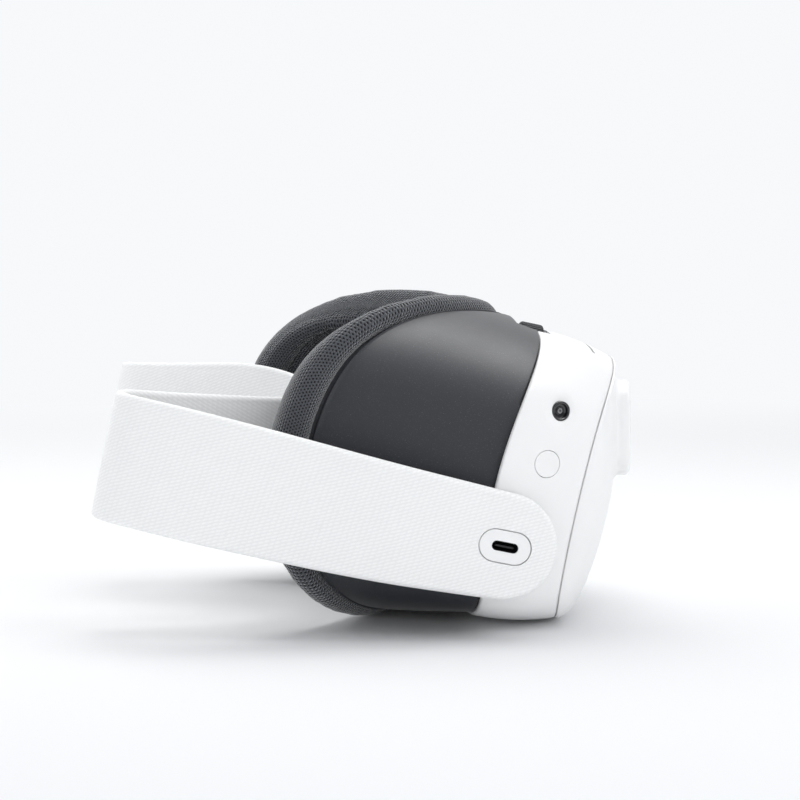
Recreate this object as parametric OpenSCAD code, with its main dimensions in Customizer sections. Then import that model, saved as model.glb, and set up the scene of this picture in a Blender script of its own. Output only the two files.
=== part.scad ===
// Self-contained headset: visor housing, face interface, eye units on a cross
// screw, and a fabric head strap on two pivoting arms.
// The headset is built level about the arm pivot axis (x forward, y to the
// wearer's right, z towards the wearer's chin) and then pitched nose-down,
// as it lies upside down on its brow edge and its brow cushion.

/* [Attitude] */
// Nose-down pitch of the whole headset as it lies, in degrees
pitch = 12; // [8:0.5:14]
// Height of the arm pivot axis above the table
lift = 31.08; // [28:0.02:36]
// Forward shift that centres the outline on the origin
shift_x = 38.1; // [30:0.1:46]

/* [Visor housing] */
// Half width of the housing at its rear rim
hw = 85.5; // [82:0.5:88]
// Half height of the housing at its rear rim
hh = 50.8; // [50:0.1:52]
// Height of the housing centre above the pivot axis
hz = 22.2; // [21.5:0.1:23]
// Squareness of the housing outline on the chin side, 2 is an ellipse
hn = 3.6; // [3.2:0.1:4.2]
// Squareness of the housing outline on the brow side
hnb = 6; // [5:0.1:7]
// Rear rim of the housing at its most rearward, behind the pivot axis
rim_x = -5.7; // [-6:0.1:-5.4]
// Wall thickness of the housing
wall = 2.5; // [2:0.1:3]
// Seam between housing and front cover, at the centre line
seam_x = 31.5; // [31:0.1:32]
// Most forward point of the front cover
nose_x = 48; // [45:0.5:50]
// Radius of the front cover across the width
front_ry = 200; // [160:5:260]
// Radius of the front cover over the height
front_rz = 137; // [110:1:180]
// Depth of the nose notch in the housing
notch = 10; // [6:0.5:11]

/* [Sensor pods] */
// Distance of the outer pods from the centre
pod_y = 45; // [42:0.5:50]
// Height of the pod centres above the pivot axis
pod_z = 44.5; // [42:0.5:47]
// Length of a pod
pod_l = 33; // [28:0.5:36]
// Width of a pod
pod_w = 15; // [13:0.5:16]
// Height of the pods over the front cover
pod_h = 4.3; // [3:0.1:5]

/* [Side controls] */
// Power button, forward of the pivot axis
button_x = 10; // [8:0.1:12]
// Power button, above the pivot axis
button_z = 28.9; // [26:0.1:32]
// Power button radius
button_r = 4.5; // [4:0.1:5]
// Side camera, forward of the pivot axis
cam_x = 11.4; // [10:0.1:13]
// Side camera, above the pivot axis
cam_z = 46.9; // [44:0.1:49]
// Side camera ring radius
cam_r = 3.3; // [3:0.1:3.6]

/* [Face interface] */
// Half width of the shell at the cushion
cw = 69.2; // [68.4:0.2:70]
// Half height of the shell at the cushion
ch = 54.6; // [54:0.1:55.4]
// Height of the cushion ring centre above the pivot axis
cz = 20.5; // [20:0.1:21]
// Thickness of the shell
shell_t = 2; // [1.6:0.1:2.4]
// Radius of the cushion front to back
pad_x = 6.5; // [5.5:0.1:7]
// Radius of the cushion across its band
pad_r = 8; // [7:0.1:8.5]
// How far the cushion stands out past the shell
pad_out = 4.3; // [3.9:0.1:4.5]
// Depth setting travel of the face interface
depth_travel = 7; // [5:0.5:7]

/* [Eye units] */
// Half of the eye distance
eye_y = 32; // [31:0.1:33]
// Height of the eyes above the pivot axis
eye_z = 22; // [20:0.5:24]
// Outer radius of a lens barrel
barrel_r = 24; // [22:0.5:25]
// Travel of each eye unit either way
ipd_travel = 3.2; // [2:0.1:3.4]

/* [Head strap] */
// Distance of each arm's middle from the centre plane, at its pivot
arm_y = 90; // [89.5:0.1:91]
// Thickness of an arm with its sleeve
arm_t = 4.6; // [4.4:0.1:5]
// Radius of an arm's round end
arm_r = 17.7; // [17.5:0.1:18]
// Height of the soft strap
strap_h = 42.7; // [41:0.1:44]
// Thickness of the soft strap
strap_t = 3.6; // [3:0.1:4]

/* [Hidden] */
$fn = 48;

white_c = [0.93, 0.93, 0.94];
dark_c = [0.20, 0.20, 0.22];
cloth_c = [0.95, 0.95, 0.95];
ring_n = 4.5;
ring_nb = 5.6;
steel_c = [0.72, 0.73, 0.75];

// ---------- placing ----------
module placed() { translate([shift_x, 0, lift]) rotate([0, pitch, 0]) children(); }

// ---------- outline and surface rules ----------
// polar radius of a rounded rectangle-like outline
function se(t, a, b, n) = 1 / pow(pow(abs(cos(t)) / a, n) + pow(abs(sin(t)) / b, n), 1 / n);
// dip of the chin-side edge that leaves room for the nose
function dip(y, v, d, w) = v > 0 ? d * exp(-pow(y / w, 2)) : 0;
function ss(x) = let(k = min(1, max(0, x))) k * k * (3 - 2 * k);
// outline point [y, z] of angle t, squareness n on the chin side and nb on the brow side
function outline(t, a, b, zc, n, nb, d, w) = let(r = se(t, a, b, sin(t) > 0 ? n : nb), y = r * cos(t), v = r * sin(t)) [y, zc + v - dip(y, v, d, w)];

// rear rim of the housing: curves forward towards chin and brow
function rim(z) = rim_x + 10.5 * pow((z - 15) / 56, 2);
function rim_at(t) = rim(outline(t, hw, hh, hz, hn, hnb, notch, 16)[1]);
// seam between housing and front cover: further back at the sides
function seam(y, z) = seam_x - 8 * pow(min(1, abs(y) / 79), 3) + 1.6 * pow((z - 5) / 45, 2);
// front dome
function dome(y, z) = nose_x - y * y / (2 * front_ry) - pow(z - 15, 2) / (2 * front_rz);
// half width and half height of the housing at share w of the way from rim to seam
function ha(w) = hw - 7.3 * w * w;
function hb(w) = hh - 3.85 * pow(w, 2.2);

// ring of the housing wall at share w, moved inwards by inset e
function wall_ring(w, e, fwd, N) = [for (i = [0:N - 1]) let(t = i * 360 / N,
    o = outline(t, ha(w) - e, hb(w) - e, hz, hn, hnb, notch, 16),
    r = rim_at(t), x = r + (seam(o[0], o[1]) - r) * w + fwd) [x, o[0], o[1]]];
// ring of the front cover at share q of the way out from the centre
function cover_ring(q, e, N) = [for (i = [0:N - 1]) let(t = i * 360 / N,
    o = outline(t, ha(1) - e, hb(1) - e, hz, hn, hnb, notch * 0.8, 17),
    y = o[0] * q, z = hz + (o[1] - hz) * q,
    m = 4 + 10 * pow(cos(t), 2),
    g = 1 - sqrt(max(0, 1 - pow(q, m))),
    xe = seam(o[0], o[1]) + 0.35,
    drop = dome(o[0], o[1]) - e - xe) [dome(y, z) - e - drop * g, y, z]];

// depth of the face surface: temples reach far back, brow and nose little
function face_x(y, z) = let(c = min(1, max(-1, (z - cz) / ch)))
    -79.9 + (60.1 + 10.4 * c) * pow(max(0, 1 - pow(min(1, abs(y) / 77.4), 1.43)), 0.79) + 17.3 * c * c;
// ring of the face shell at share t of the way from housing to cushion, inset e
function shell_ring(k, e, N) = [for (i = [0:N - 1]) let(a = i * 360 / N,
    A = 82 + (cw - 82) * pow(k, 1.25) - e, B = 50.8 + (ch - 50.8) * sin(90 * k) - e,
    o = outline(a, A, B, 22.7 + (cz - 22.7) * k, 3.7 + (ring_n - 3.7) * k, hnb + (ring_nb - hnb) * k, 10 + 15 * k, 16 - 3 * k),
    oc = outline(a, cw, ch, cz, ring_n, ring_nb, 25, 13),
    x0 = rim_at(a) - 0.9, xc = face_x(oc[0], oc[1])) [x0 + (xc - x0) * k, o[0], o[1]]];
// ring of the sleeve that slides in the housing, at distance x from the rim
function sleeve_ring(x, e, N) = [for (i = [0:N - 1]) let(a = i * 360 / N,
    o = outline(a, 80.6 - e, 46.2 - e, 22.6, 3.6, 5.4, 10, 16)) [rim_at(a) + x, o[0], o[1]]];
// cushion section around the shell edge, squashed flat where it lies on the table
function pad_ring(a, M) = let(o = outline(a, cw, ch, cz, ring_n, ring_nb, 25, 13), p = outline(a + 1, cw, ch, cz, ring_n, ring_nb, 25, 13),
    d = [p[0] - o[0], p[1] - o[1]], l = norm(d), n = [d[1] / l, -d[0] / l], x0 = face_x(o[0], o[1]) - pad_x - 1.15)
    [for (j = [0:M - 1]) let(b = j * 360 / M, x = x0 + pad_x * cos(b), sr = pad_r * sin(b) - pad_r + pad_out)
        [x, o[0] + n[0] * sr, max(o[1] + n[1] * sr, (0.05 - lift + x * sin(pitch)) / cos(pitch))]];

// ---------- skins ----------
// closed skin over rings that run round like a tyre
module tyre(rings) {
    R = len(rings); N = len(rings[0]);
    polyhedron(points = [for (r = rings) each r],
        faces = [for (i = [0:R - 1], j = [0:N - 1]) let(a = i * N + j, b = i * N + (j + 1) % N,
            c = ((i + 1) % R) * N + (j + 1) % N, d = ((i + 1) % R) * N + j) each [[a, c, b], [a, d, c]]]);
}
// closed skin over rings whose first and last ones are shut by flat fans
module pod(rings) {
    R = len(rings); N = len(rings[0]);
    polyhedron(points = concat([for (r = rings) each r], [mid(rings[0]), mid(rings[R - 1])]),
        faces = concat([for (i = [0:R - 2], j = [0:N - 1]) let(a = i * N + j, b = i * N + (j + 1) % N,
            c = (i + 1) * N + (j + 1) % N, d = (i + 1) * N + j) each [[a, c, b], [a, d, c]]],
            [for (j = [0:N - 1]) [R * N, j, (j + 1) % N]],
            [for (j = [0:N - 1]) [R * N + 1, (R - 1) * N + (j + 1) % N, (R - 1) * N + j]]));
}
function rev(l) = [for (i = [len(l) - 1:-1:0]) l[i]];
function mid(r) = let(n = len(r)) [for (k = [0:2]) [for (p = r) p[k]] * [for (p = r) 1] / n];

// stadium outline in the plane, long way upright
module stadium(w, l) { hull() { translate([0, (l - w) / 2]) circle(d = w); translate([0, -(l - w) / 2]) circle(d = w); } }
// exact stadium bar along x from x0 to x1
module stadium_bar(w, l, x0, x1) {
    translate([x0, 0, 0]) rotate([90, 0, 90]) linear_extrude(x1 - x0) {
        square([w, l - w], center = true);
        translate([0, (l - w) / 2]) circle(d = w);
        translate([0, -(l - w) / 2]) circle(d = w);
    }
}
boss_r = 13;
rocker_x = 8.5;
rocker_y = 41;
rocker_z = 71.8;
// puts children (built along +x outwards) on a housing side wall, facing out
module on_side(x, z, s) { translate([x, s * side_y(x, z), z]) rotate([0, 0, s * (90 - side_turn(x, z))]) children(); }
// half width of the housing at x, z and how far its wall turns to the front there
function side_w(x, z) = (x - rim(z)) / (seam(77, z) - rim(z));
function side_y(x, z) = let(w = side_w(x, z), q = pow(1 - pow(abs(z - hz) / hb(w), hn), 1 / hn)) ha(w) * q;
function side_turn(x, z) = atan(2 * 7.3 * side_w(x, z) / (seam(77, z) - rim(z)));

// ---------- visor ----------
module main_housing() color(white_c) placed() difference() {
    N = 72;
    union() {
        tyre(concat([for (k = [[0, 0.9], [0.03, 0.15], [0.07, 0], [0.3, 0], [0.55, 0], [0.8, 0], [1, 0]]) wall_ring(k[0], k[1], 0, N)],
            [for (k = [1, 0.55, 0]) wall_ring(k, wall, 0, N)]));
        // round seat of each arm pivot, and its foot on the wall
        for (s = [-1, 1]) rotate([s * -90, 0, 0]) {
            translate([0, 0, 84.6]) cylinder(r = boss_r, h = 1.7);
            intersection() {
                translate([0, 0, 77.5]) cylinder(r = boss_r, h = 7.6);
                translate([-2.3, -20, 70]) cube([20, 40, 20]);
            }
        }
    }
    // side cameras
    for (s = [-1, 1]) on_side(cam_x, cam_z, s) {
        translate([-12, 0, 0]) rotate([0, 90, 0]) cylinder(r = cam_r + 0.05, h = 24);
        translate([-0.55, 0, 0]) rotate([0, 90, 0]) cylinder(r1 = cam_r + 1.2, r2 = cam_r + 4.2, h = 2);
    }
    // power button
    on_side(button_x, button_z, -1) translate([-8, 0, 0]) rotate([0, 90, 0]) cylinder(r = button_r + 0.2, h = 16);
    // bores for the hollow pivot posts
    for (s = [-1, 1]) translate([0, s * 70, 0]) rotate([s * -90, 0, 0]) cylinder(r = 8, h = 30);
    // wheel window and rocker window in the chin-side wall
    translate([0.5, -46, 66]) cube([9.6, 24, 12]);
    translate([rocker_x - 0.2, rocker_y, rocker_z]) rotate([-6, 0, 0]) translate([0, -8.3, -6]) cube([5.4, 16.6, 12]);
    // air slots near the seam
    for (s = [-1, 1]) translate([23, s * 40 - 13, 60]) cube([3, 26, 20]);
}
module front_cover() color(white_c) placed() difference() {
    N = 64;
    union() {
        pod(rev(concat([for (q = [0.06, 0.3, 0.5, 0.68, 0.82, 0.91, 0.965, 0.99, 1]) cover_ring(q, 0, N)],
            [for (q = [1, 0.965, 0.9, 0.75, 0.5, 0.06]) cover_ring(q, 2.3, N)])));
        for (s = [-1, 0, 1]) pod_place(s) stadium_bar(pod_w, pod_l, -6, pod_h);
    }
    for (s = [-1, 0, 1]) pod_place(s) {
        stadium_bar(pod_w - 3.4, pod_l - 3.4, -12, pod_h + 2);
    }
}
// children on the front cover at pod s, x outwards from the cover surface
module pod_place(s) translate([pod_face(s), s * pod_y, pod_z]) rotate([0, -pitch, 0]) rotate([0, 0, s * 9]) children();
function pod_face(s) = dome(s * pod_y, pod_z) + 0.2;

module sensor_window(s) color([0.05, 0.05, 0.06]) placed() pod_place(s) stadium_bar(pod_w - 3.5, pod_l - 3.5, pod_h - 2.2, pod_h - 0.5);
module sensor_window_left() sensor_window(-1);
module sensor_window_center() sensor_window(0);
module sensor_window_right() sensor_window(1);
module camera_barrel(r, l) rotate([0, 90, 0]) difference() {
    cylinder(r = r, h = l);
    translate([0, 0, l - 1]) cylinder(r = r * 0.62, h = 2);
}
module front_camera(s) color([0.08, 0.08, 0.09]) placed() pod_place(s) {
    translate([-6, 0, 7.5]) camera_barrel(4.4, 7.8);
    translate([-6, 0, -7.5]) camera_barrel(4.4, 7.8);
}
module front_camera_left() front_camera(-1);
module front_camera_right() front_camera(1);
module depth_projector() color([0.08, 0.08, 0.09]) placed() pod_place(0) {
    translate([-6, 0, 7.5]) camera_barrel(3.6, 7.8);
    translate([-6, -4, -12]) cube([7.6, 8, 12]);
}
module side_camera(s) color([0.04, 0.04, 0.05]) placed() on_side(cam_x, cam_z, s) rotate([0, 90, 0]) {
    difference() {
        translate([0, 0, -5]) cylinder(r = cam_r, h = 4.6);
        translate([0, 0, -1.6]) cylinder(r = cam_r - 1.1, h = 2);
    }
    translate([0, 0, -1.6]) cylinder(r = 1.5, h = 0.7);
}
module side_camera_left() side_camera(-1);
module side_camera_right() side_camera(1);
module power_button() color(white_c) placed() on_side(button_x, button_z, -1) rotate([0, 90, 0]) {
    translate([0, 0, -2.9]) cylinder(r = button_r, h = 2.8);
    translate([0, 0, -3.6]) cylinder(r = 2, h = 0.8);
}
module volume_rocker() color(white_c) placed() {
    translate([rocker_x, rocker_y, rocker_z]) rotate([-6, 0, 0]) {
        difference() {
            translate([0, -8, -2.4]) cube([5, 16, 3]);
            translate([-1, 0, 1.5]) rotate([0, 90, 0]) cylinder(r = 1.4, h = 7);
        }
        translate([0, 0, -2.6]) rotate([0, 90, 0]) cylinder(r = 1.2, h = 5);
    }
}
module vent_grilles() color(dark_c) placed() difference() {
    for (s = [-1, 1]) translate([21.5, s * 40 - 15, 60.4]) cube([6, 30, 1.4]);
    for (s = [-1, 1], i = [0:5]) translate([22.6, s * 40 - 12.6 + i * 4.4, 59]) cube([3.8, 3, 4]);
}

// ---------- inside of the visor ----------
module mid_frame() color([0.55, 0.56, 0.58]) placed() difference() {
    union() {
        translate([14.8, -70, -11]) cube([1.8, 140, 67]);
        translate([14.8, -78.5, 16]) cube([1.8, 157, 20]);
        // bearing tab of the wheel
        translate([14.8, -39, 55]) cube([1.8, 10, 13]);
        // brackets of the guide rod and of the cross screw
        for (s = [-1, 1]) {
            translate([4.5, s * 64 - 2, -8]) cube([10.6, 4, 8]);
            translate([9.2, s * 64 - 2, 52]) cube([5.9, 4, 6.2]);
        }
    }
    translate([14, -58, 2]) cube([4, 34, 40]);
    translate([14, 24, 2]) cube([4, 34, 40]);
    for (s = [-1, 1]) {
        translate([8, s * 60, -4]) rotate([s * -90, 0, 0]) cylinder(r = 1.5, h = 12);
        translate([12.2, s * 60, 56]) rotate([s * -90, 0, 0]) cylinder(r = 1.55, h = 12);
    }
    for (p = screw_at) translate([13, p[0], p[1]]) rotate([0, 90, 0]) cylinder(r = 1.2, h = 6);
    // wheel shaft bore
    translate([12, -34, 64]) rotate([0, 90, 0]) cylinder(r = 1.5, h = 6);
    // window for the screw's gear
    translate([14, -36.2, 52.6]) cube([3, 4.4, 6.8]);
}
screw_at = [[-66, 30], [-66, 47], [66, 30], [66, 47], [-12, -10], [12, -10], [-20, 50], [20, 50]];
module frame_screws() color(steel_c) placed() for (p = screw_at) translate([13.4, p[0], p[1]]) rotate([0, 90, 0]) {
    cylinder(r = 1.15, h = 5);
    difference() { cylinder(r = 2.2, h = 1.4); translate([0, 0, -1]) cylinder(r = 0.9, h = 1.8, $fn = 6); }
}
module eye_panel() color([0.10, 0.10, 0.11]) placed() difference() {
    pod([for (x = [[-1.2, 0], [0.6, 0]]) [for (i = [0:63]) let(t = i * 360 / 64,
        o = outline(t, 76.5, 42, 22.7, 3.4, 3.4, 9, 17)) [x[0], o[0], o[1]]]]);
    for (s = [-1, 1]) translate([-4, 0, eye_z]) for (d = [-ipd_travel, ipd_travel])
        translate([0, s * eye_y + d, 0]) rotate([0, 90, 0]) cylinder(r = barrel_r + 0.7, h = 8);
    for (s = [-1, 1]) translate([-4, s * eye_y - ipd_travel, eye_z - barrel_r - 0.7]) cube([8, 2 * ipd_travel, 2 * barrel_r + 1.4]);
    translate([-4, 0, 49]) rotate([0, 90, 0]) cylinder(r = 2.2, h = 8);
    translate([-3, -46, 54]) cube([6, 24, 14]);
}
module proximity_sensor() color([0.06, 0.05, 0.07]) placed() translate([-1.6, 0, 49]) rotate([0, 90, 0]) cylinder(r = 2.1, h = 3);
module lens_barrel(s) color([0.12, 0.12, 0.13]) placed() translate([0, s * eye_y, eye_z]) {
    difference() {
        rotate([0, 90, 0]) rotate_extrude($fn = 96) polygon([[barrel_r - 2.4, -10.6], [barrel_r - 0.8, -10.6], [barrel_r, -9.6], [barrel_r, 9],
            [barrel_r - 3, 12], [barrel_r - 7, 12], [barrel_r - 7, 10.6], [barrel_r - 4, 8.6], [barrel_r - 4, -5], [barrel_r - 2.4, -5.2]]);
    }
    // foot on the guide rod
    difference() {
        translate([5.4, -6, -30.2]) cube([5.2, 12, 9]);
        translate([8, -8, -4 - eye_z]) rotate([-90, 0, 0]) cylinder(r = 1.55, h = 16);
    }
    // nut on the cross screw
    difference() {
        translate([9.9, s * 14 - 5, 19.3]) cube([4.5, 10, 17.7]);
        translate([12.2, s * 14 - 8, 56 - eye_z]) rotate([-90, 0, 0]) cylinder(r = 1.55, h = 16);
    }
}
module lens_barrel_left() lens_barrel(-1);
module lens_barrel_right() lens_barrel(1);
module lens_left() lens_solid(-1);
module lens_right() lens_solid(1);
module lens_solid(s) color([0.75, 0.85, 0.95, 0.6]) placed() translate([0, s * eye_y, eye_z]) rotate([0, 90, 0])
    rotate_extrude($fn = 96) polygon(concat([[0, -5.3], [barrel_r - 2.5, -5.3]],
        [for (i = [0:10]) let(r = (barrel_r - 2.5) * (1 - i / 10)) [r, -7.2 - 2.6 * (1 - pow(r / (barrel_r - 2.5), 2))]]));
module display(s) color([0.03, 0.03, 0.05]) placed()
    translate([12.05, s * eye_y - 16.5, eye_z - 19]) cube([1.9, 33, 38]);
module display_left() display(-1);
module display_right() display(1);
module ipd_rail() color(steel_c) placed() translate([8, -66, -4]) rotate([-90, 0, 0]) cylinder(r = 1.5, h = 132);
module ipd_screw() color(steel_c) placed() translate([12.2, -65.9, 56]) rotate([-90, 0, 0]) {
    cylinder(r = 1.5, h = 131.8);
    translate([0, 0, 30.4]) cylinder(r = 3.05, h = 3);
}
module ipd_wheel() color(dark_c) placed() translate([0, -34, 64]) rotate([0, 90, 0]) {
    difference() {
        translate([0, 0, 1.1]) cylinder(r = 9.8, h = 7.9);
        for (i = [0:35]) rotate([0, 0, i * 10]) translate([9.9, 0, 0]) cylinder(r = 0.35, h = 12, $fn = 8);
    }
    // skew gear on the hub, at its pitch radius, and the stub shaft
    translate([0, 0, 8.5]) cylinder(r = 3.4, h = 3);
    translate([0, 0, 10.9]) cylinder(r = 4.8, h = 2.6);
    translate([0, 0, 13]) cylinder(r = 1.45, h = 3.4);
}
module main_board() color([0.05, 0.25, 0.15]) placed() {
    difference() {
        translate([17.2, -60, -8]) cube([1.2, 120, 58]);
        for (p = screw_at) if (abs(p[0]) < 60) translate([16, p[0], p[1]]) rotate([0, 90, 0]) cylinder(r = 1.4, h = 4);
    }
    translate([18.4, -14, 8]) cube([1.1, 16, 16]);
    translate([18.4, 6, 8]) cube([1.1, 12, 14]);
    translate([18.4, -40, 12]) cube([1.1, 12, 12]);
}
module heat_spreader() color([0.75, 0.5, 0.35]) placed() translate([19.6, -50, -2]) cube([0.9, 100, 46]);
module fan_housing() color([0.1, 0.1, 0.1]) placed() difference() {
    union() {
        translate([20.8, 0, 22]) rotate([0, 90, 0]) cylinder(r = 19, h = 8);
        translate([20.8, -19, 22]) cube([8, 19, 26]);
    }
    translate([22, 0, 22]) rotate([0, 90, 0]) cylinder(r = 17, h = 5.8);
    translate([22, -17, 22]) cube([5.8, 16, 30]);
    translate([26, 0, 22]) rotate([0, 90, 0]) cylinder(r = 10, h = 6);
}
module fan_rotor() color([0.14, 0.14, 0.15]) placed() translate([22.4, 0, 22]) rotate([0, 90, 0]) {
    cylinder(r = 6.5, h = 4.8);
    cylinder(r = 14.5, h = 0.8);
    for (i = [0:12]) rotate([0, 0, i * 360 / 13]) translate([6, -0.35, 0.5]) cube([8.3, 0.7, 3.9]);
}
module battery() color([0.2, 0.22, 0.26]) placed() translate([21, 24, 0]) cube([8, 38, 44]);

// ---------- face interface ----------
module face_shell() color(dark_c) placed() difference() {
    N = 72;
    tyre(rev(concat([for (x = [9, 0, -0.5]) sleeve_ring(x, 0, N)],
        [for (k = [0, 0.12, 0.28, 0.45, 0.62, 0.78, 0.9, 1]) shell_ring(k, 0, N)],
        [for (k = [1, 0.78, 0.55, 0.3, 0.1]) shell_ring(k, shell_t, N)],
        [for (x = [-0.5, 9]) sleeve_ring(x, shell_t - 0.2, N)])));
    // latch bores, and room for the wheel, the pivot bosses and the rocker
    for (s = [-1, 1]) translate([-16, s * 60, 2]) rotate([s * -90, 0, 0]) cylinder(r = 4.2, h = 30);
    translate([-2.6, -46.5, 60]) cube([22, 25, 20]);
    for (s = [-1, 1]) translate([-3, s * 80 - 8, -14.5]) cube([14, 16, 29]);
    translate([5.8, 31, 60]) cube([14, 20, 20]);
    // the nose notch of the sleeve stays behind the cross screw
    translate([6.2, -25, 50]) cube([14, 50, 17.2]);
}
module face_cushion() color(dark_c) placed() tyre([for (i = [0:63]) pad_ring(i * 360 / 64, 16)]);
module latch(s) color([0.3, 0.3, 0.32]) placed() translate([-16, 0, 2]) rotate([s * -90, 0, 0]) {
    translate([0, 0, 75.6]) cylinder(r = 4, h = 4.5);
    translate([0, 0, 74]) cylinder(r = 5.4, h = 1.7);
}
module latch_left() latch(-1);
module latch_right() latch(1);

// ---------- arm pivots ----------
module pivot_post(s) color(steel_c) placed() rotate([s * -90, 0, 0]) difference() {
    translate([0, 0, 83.2]) cylinder(r = 8, h = 7.2);
    translate([0, 0, 60]) cylinder(r = 6.4, h = 40);
}
module pivot_post_left() pivot_post(-1);
module pivot_post_right() pivot_post(1);
module pivot_bushing(s) color([0.85, 0.85, 0.8]) placed() rotate([s * -90, 0, 0]) difference() {
    translate([0, 0, arm_y - 1.35]) cylinder(r = 9.6, h = 1.75);
    translate([0, 0, 80]) cylinder(r = 8.05, h = 20);
}
module pivot_bushing_left() pivot_bushing(-1);
module pivot_bushing_right() pivot_bushing(1);
module pivot_washers() color(steel_c) placed() for (s = [-1, 1]) rotate([s * -90, 0, 0]) difference() {
    translate([0, 0, 86.4]) cylinder(r = 12, h = 0.8);
    translate([0, 0, 80]) cylinder(r = 8.05, h = 20);
}

// ---------- head strap ----------
// course of the strap seen from above: [length, turn in degrees, steps]
// 0 heads straight back, positive turns towards the centre plane
course = [[42, 0, 2], [26, 10, 4], [40, 0, 3], [26, 12, 4], [8, 0, 1], [33.7, 143, 10], [40, 0, 4], [47, -75, 8]];
function station(k, x, y, h, s, n) = // list of [x, y, heading, run] along the half course
    k >= len(course) ? [] :
    let(c = course[k], m = c[2], l = c[0] / m, d = c[1] / m)
    walk(k, 0, m, l, d, x, y, h, s);
function walk(k, i, m, l, d, x, y, h, s) = i >= m ? station(k + 1, x, y, h, s, 0) :
    let(hm = h + d / 2, x1 = x - l * cos(hm), y1 = y + l * sin(hm))
    concat([[x1, y1, h + d, s + l]], walk(k, i + 1, m, l, d, x1, y1, h + d, s + l));
half = concat([[17, -arm_y, 0, 0]], station(0, 17, -arm_y, 0, 0, 0));
hl = half[len(half) - 1][3];
// whole course, left to right; the right half is the left half mirrored and pulled to the centre plane
whole = concat([for (p = half) [p[0], p[1] - half[len(half) - 1][1] * ss((p[3] - 40) / (hl - 40)), p[2], p[3]]],
    [for (i = [len(half) - 2:-1:0]) let(p = half[i]) [p[0] + 5 * ss((hl - p[3]) / 40) * (1 - ss((150 - p[3]) / 90)), -(p[1] - half[len(half) - 1][1] * ss((p[3] - 40) / (hl - 40))), 180 - p[2], 2 * hl - p[3]]]);
// height of the strap's middle along its run: the far side lies a little higher
function rise(s) = s < 42 ? 0 : s < 150 ? 2 * ss((s - 42) / 108) : s < hl ? 2 + 10.5 * ss((s - 150) / (hl - 150)) :
    s < 2 * hl - 150 ? 12.5 + 6.5 * ss((s - hl) / 60) - 12.3 * ss((s - hl - 30) / (hl - 180)) : 6.7 * ss((2 * hl - 42 - s) / 108);
// half height and half thickness of the band along its run
function band_h(s) = let(e = min(s, 2 * hl - s), t = min(1, max(0, (e - 17) / 110))) arm_r + (strap_h / 2 - arm_r) * (1 - pow(1 - t, 1.6));
function band_t(s, t0, t1) = let(e = min(s, 2 * hl - s)) (t0 + (t1 - t0) * ss((e - 85) / 40)) / 2;
// section of the band at station p: rounded flat bar
function band_ring(p, i0, t0, t1, g) = let(h = p[2], n = [sin(h), cos(h)], H = band_h(p[3]) - g, T = band_t(p[3], t0, t1), z = rise(p[3]))
    [for (q = [[1, -1, 0.35], [1, 1, 0.35], [0.35, 1, 0], [-0.35, 1, 0], [-1, 1, -0.35], [-1, -1, -0.35], [-0.35, -1, 0], [0.35, -1, 0]])
        let(t = q[0] * T, v = q[1] * (H - (abs(q[0]) == 1 ? 1.2 : 0))) [p[0] + n[0] * t, p[1] + n[1] * t, z + v]];
module band(i0, i1, t0, t1, g) pod([for (i = [i1:-1:i0]) band_ring(whole[i], 0, t0, t1, g)]);
nw = len(whole);
// flat arm end, outline radius r, thickness t, widening from the pivot to x = -25
module arm_end(r, t, s) translate([0, s * arm_y, 0]) rotate([90, 0, 0]) translate([0, 0, -t / 2]) linear_extrude(t) {
    circle(r = r, $fn = 96);
    polygon([for (k = [1, -1], i = [0:4]) let(x = k > 0 ? -6.4 * i : -25.6 + 6.4 * i) [x, k * (band_h(17 - x) - arm_r + r)]]);
}
i_a = 2;   // station where the flat arm ends
i_b = 9;   // station where the stiff core ends
module arm_core(s) color([0.85, 0.85, 0.86]) placed() difference() {
    union() {
        arm_end(arm_r - 1.4, 2.36, s);
        if (s < 0) core_band(i_a, i_b); else core_band(nw - 1 - i_b, nw - 1 - i_a);
    }
    rotate([s * -90, 0, 0]) translate([0, 0, 80]) cylinder(r = 9.65, h = 20);
    // speaker window
    translate([-24.8, s * arm_y - 6, -8.7]) cube([11.8, 12, 17.4]);
}
module core_band(a, b) pod([for (i = [b:-1:a]) let(p = whole[i], h = p[2], n = [sin(h), cos(h)], H = min(17.4, band_h(p[3])) - 1.6, T = 1.2, z = rise(p[3]))
    [for (q = [[1, -1], [1, 1], [-1, 1], [-1, -1]]) [p[0] + n[0] * q[0] * T, p[1] + n[1] * q[0] * T, z + q[1] * H]]]);
module arm_core_left() arm_core(-1);
module arm_core_right() arm_core(1);
// sleeve: pocket of fabric over the core, open where the port island sits
module arm_sleeve(s) color(cloth_c) placed() difference() {
    union() {
        arm_end(arm_r, arm_t - 0.04, s);
        if (s < 0) band(i_a, i_b + 1, arm_t, strap_t, 0); else band(nw - 2 - i_b, nw - 1 - i_a, arm_t, strap_t, 0);
    }
    arm_end(arm_r - 1.3, 2.5, s);
    if (s < 0) pocket_band(i_a, i_b); else pocket_band(nw - 1 - i_b, nw - 1 - i_a);
    // island opening outside, pivot opening inside
    island_bar(s, 17.9, 11.2, arm_y, arm_y + 4);
    rotate([s * -90, 0, 0]) translate([0, 0, arm_y - 4]) cylinder(r = 12.4, h = 3.2);
}
module pocket_band(a, b) pod([for (i = [b:-1:a]) let(p = whole[i], h = p[2], n = [sin(h), cos(h)], H = min(17.4, band_h(p[3])) - 1.5, T = 1.25, z = rise(p[3]))
    [for (q = [[1, -1], [1, 1], [-1, 1], [-1, -1]]) [p[0] + n[0] * q[0] * T, p[1] + n[1] * q[0] * T, z + q[1] * H]]]);
module arm_sleeve_left() arm_sleeve(-1);
module arm_sleeve_right() arm_sleeve(1);
module rear_strap() color(cloth_c) placed() band(i_b + 1, nw - 2 - i_b, arm_t, strap_t, 0);
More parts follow.
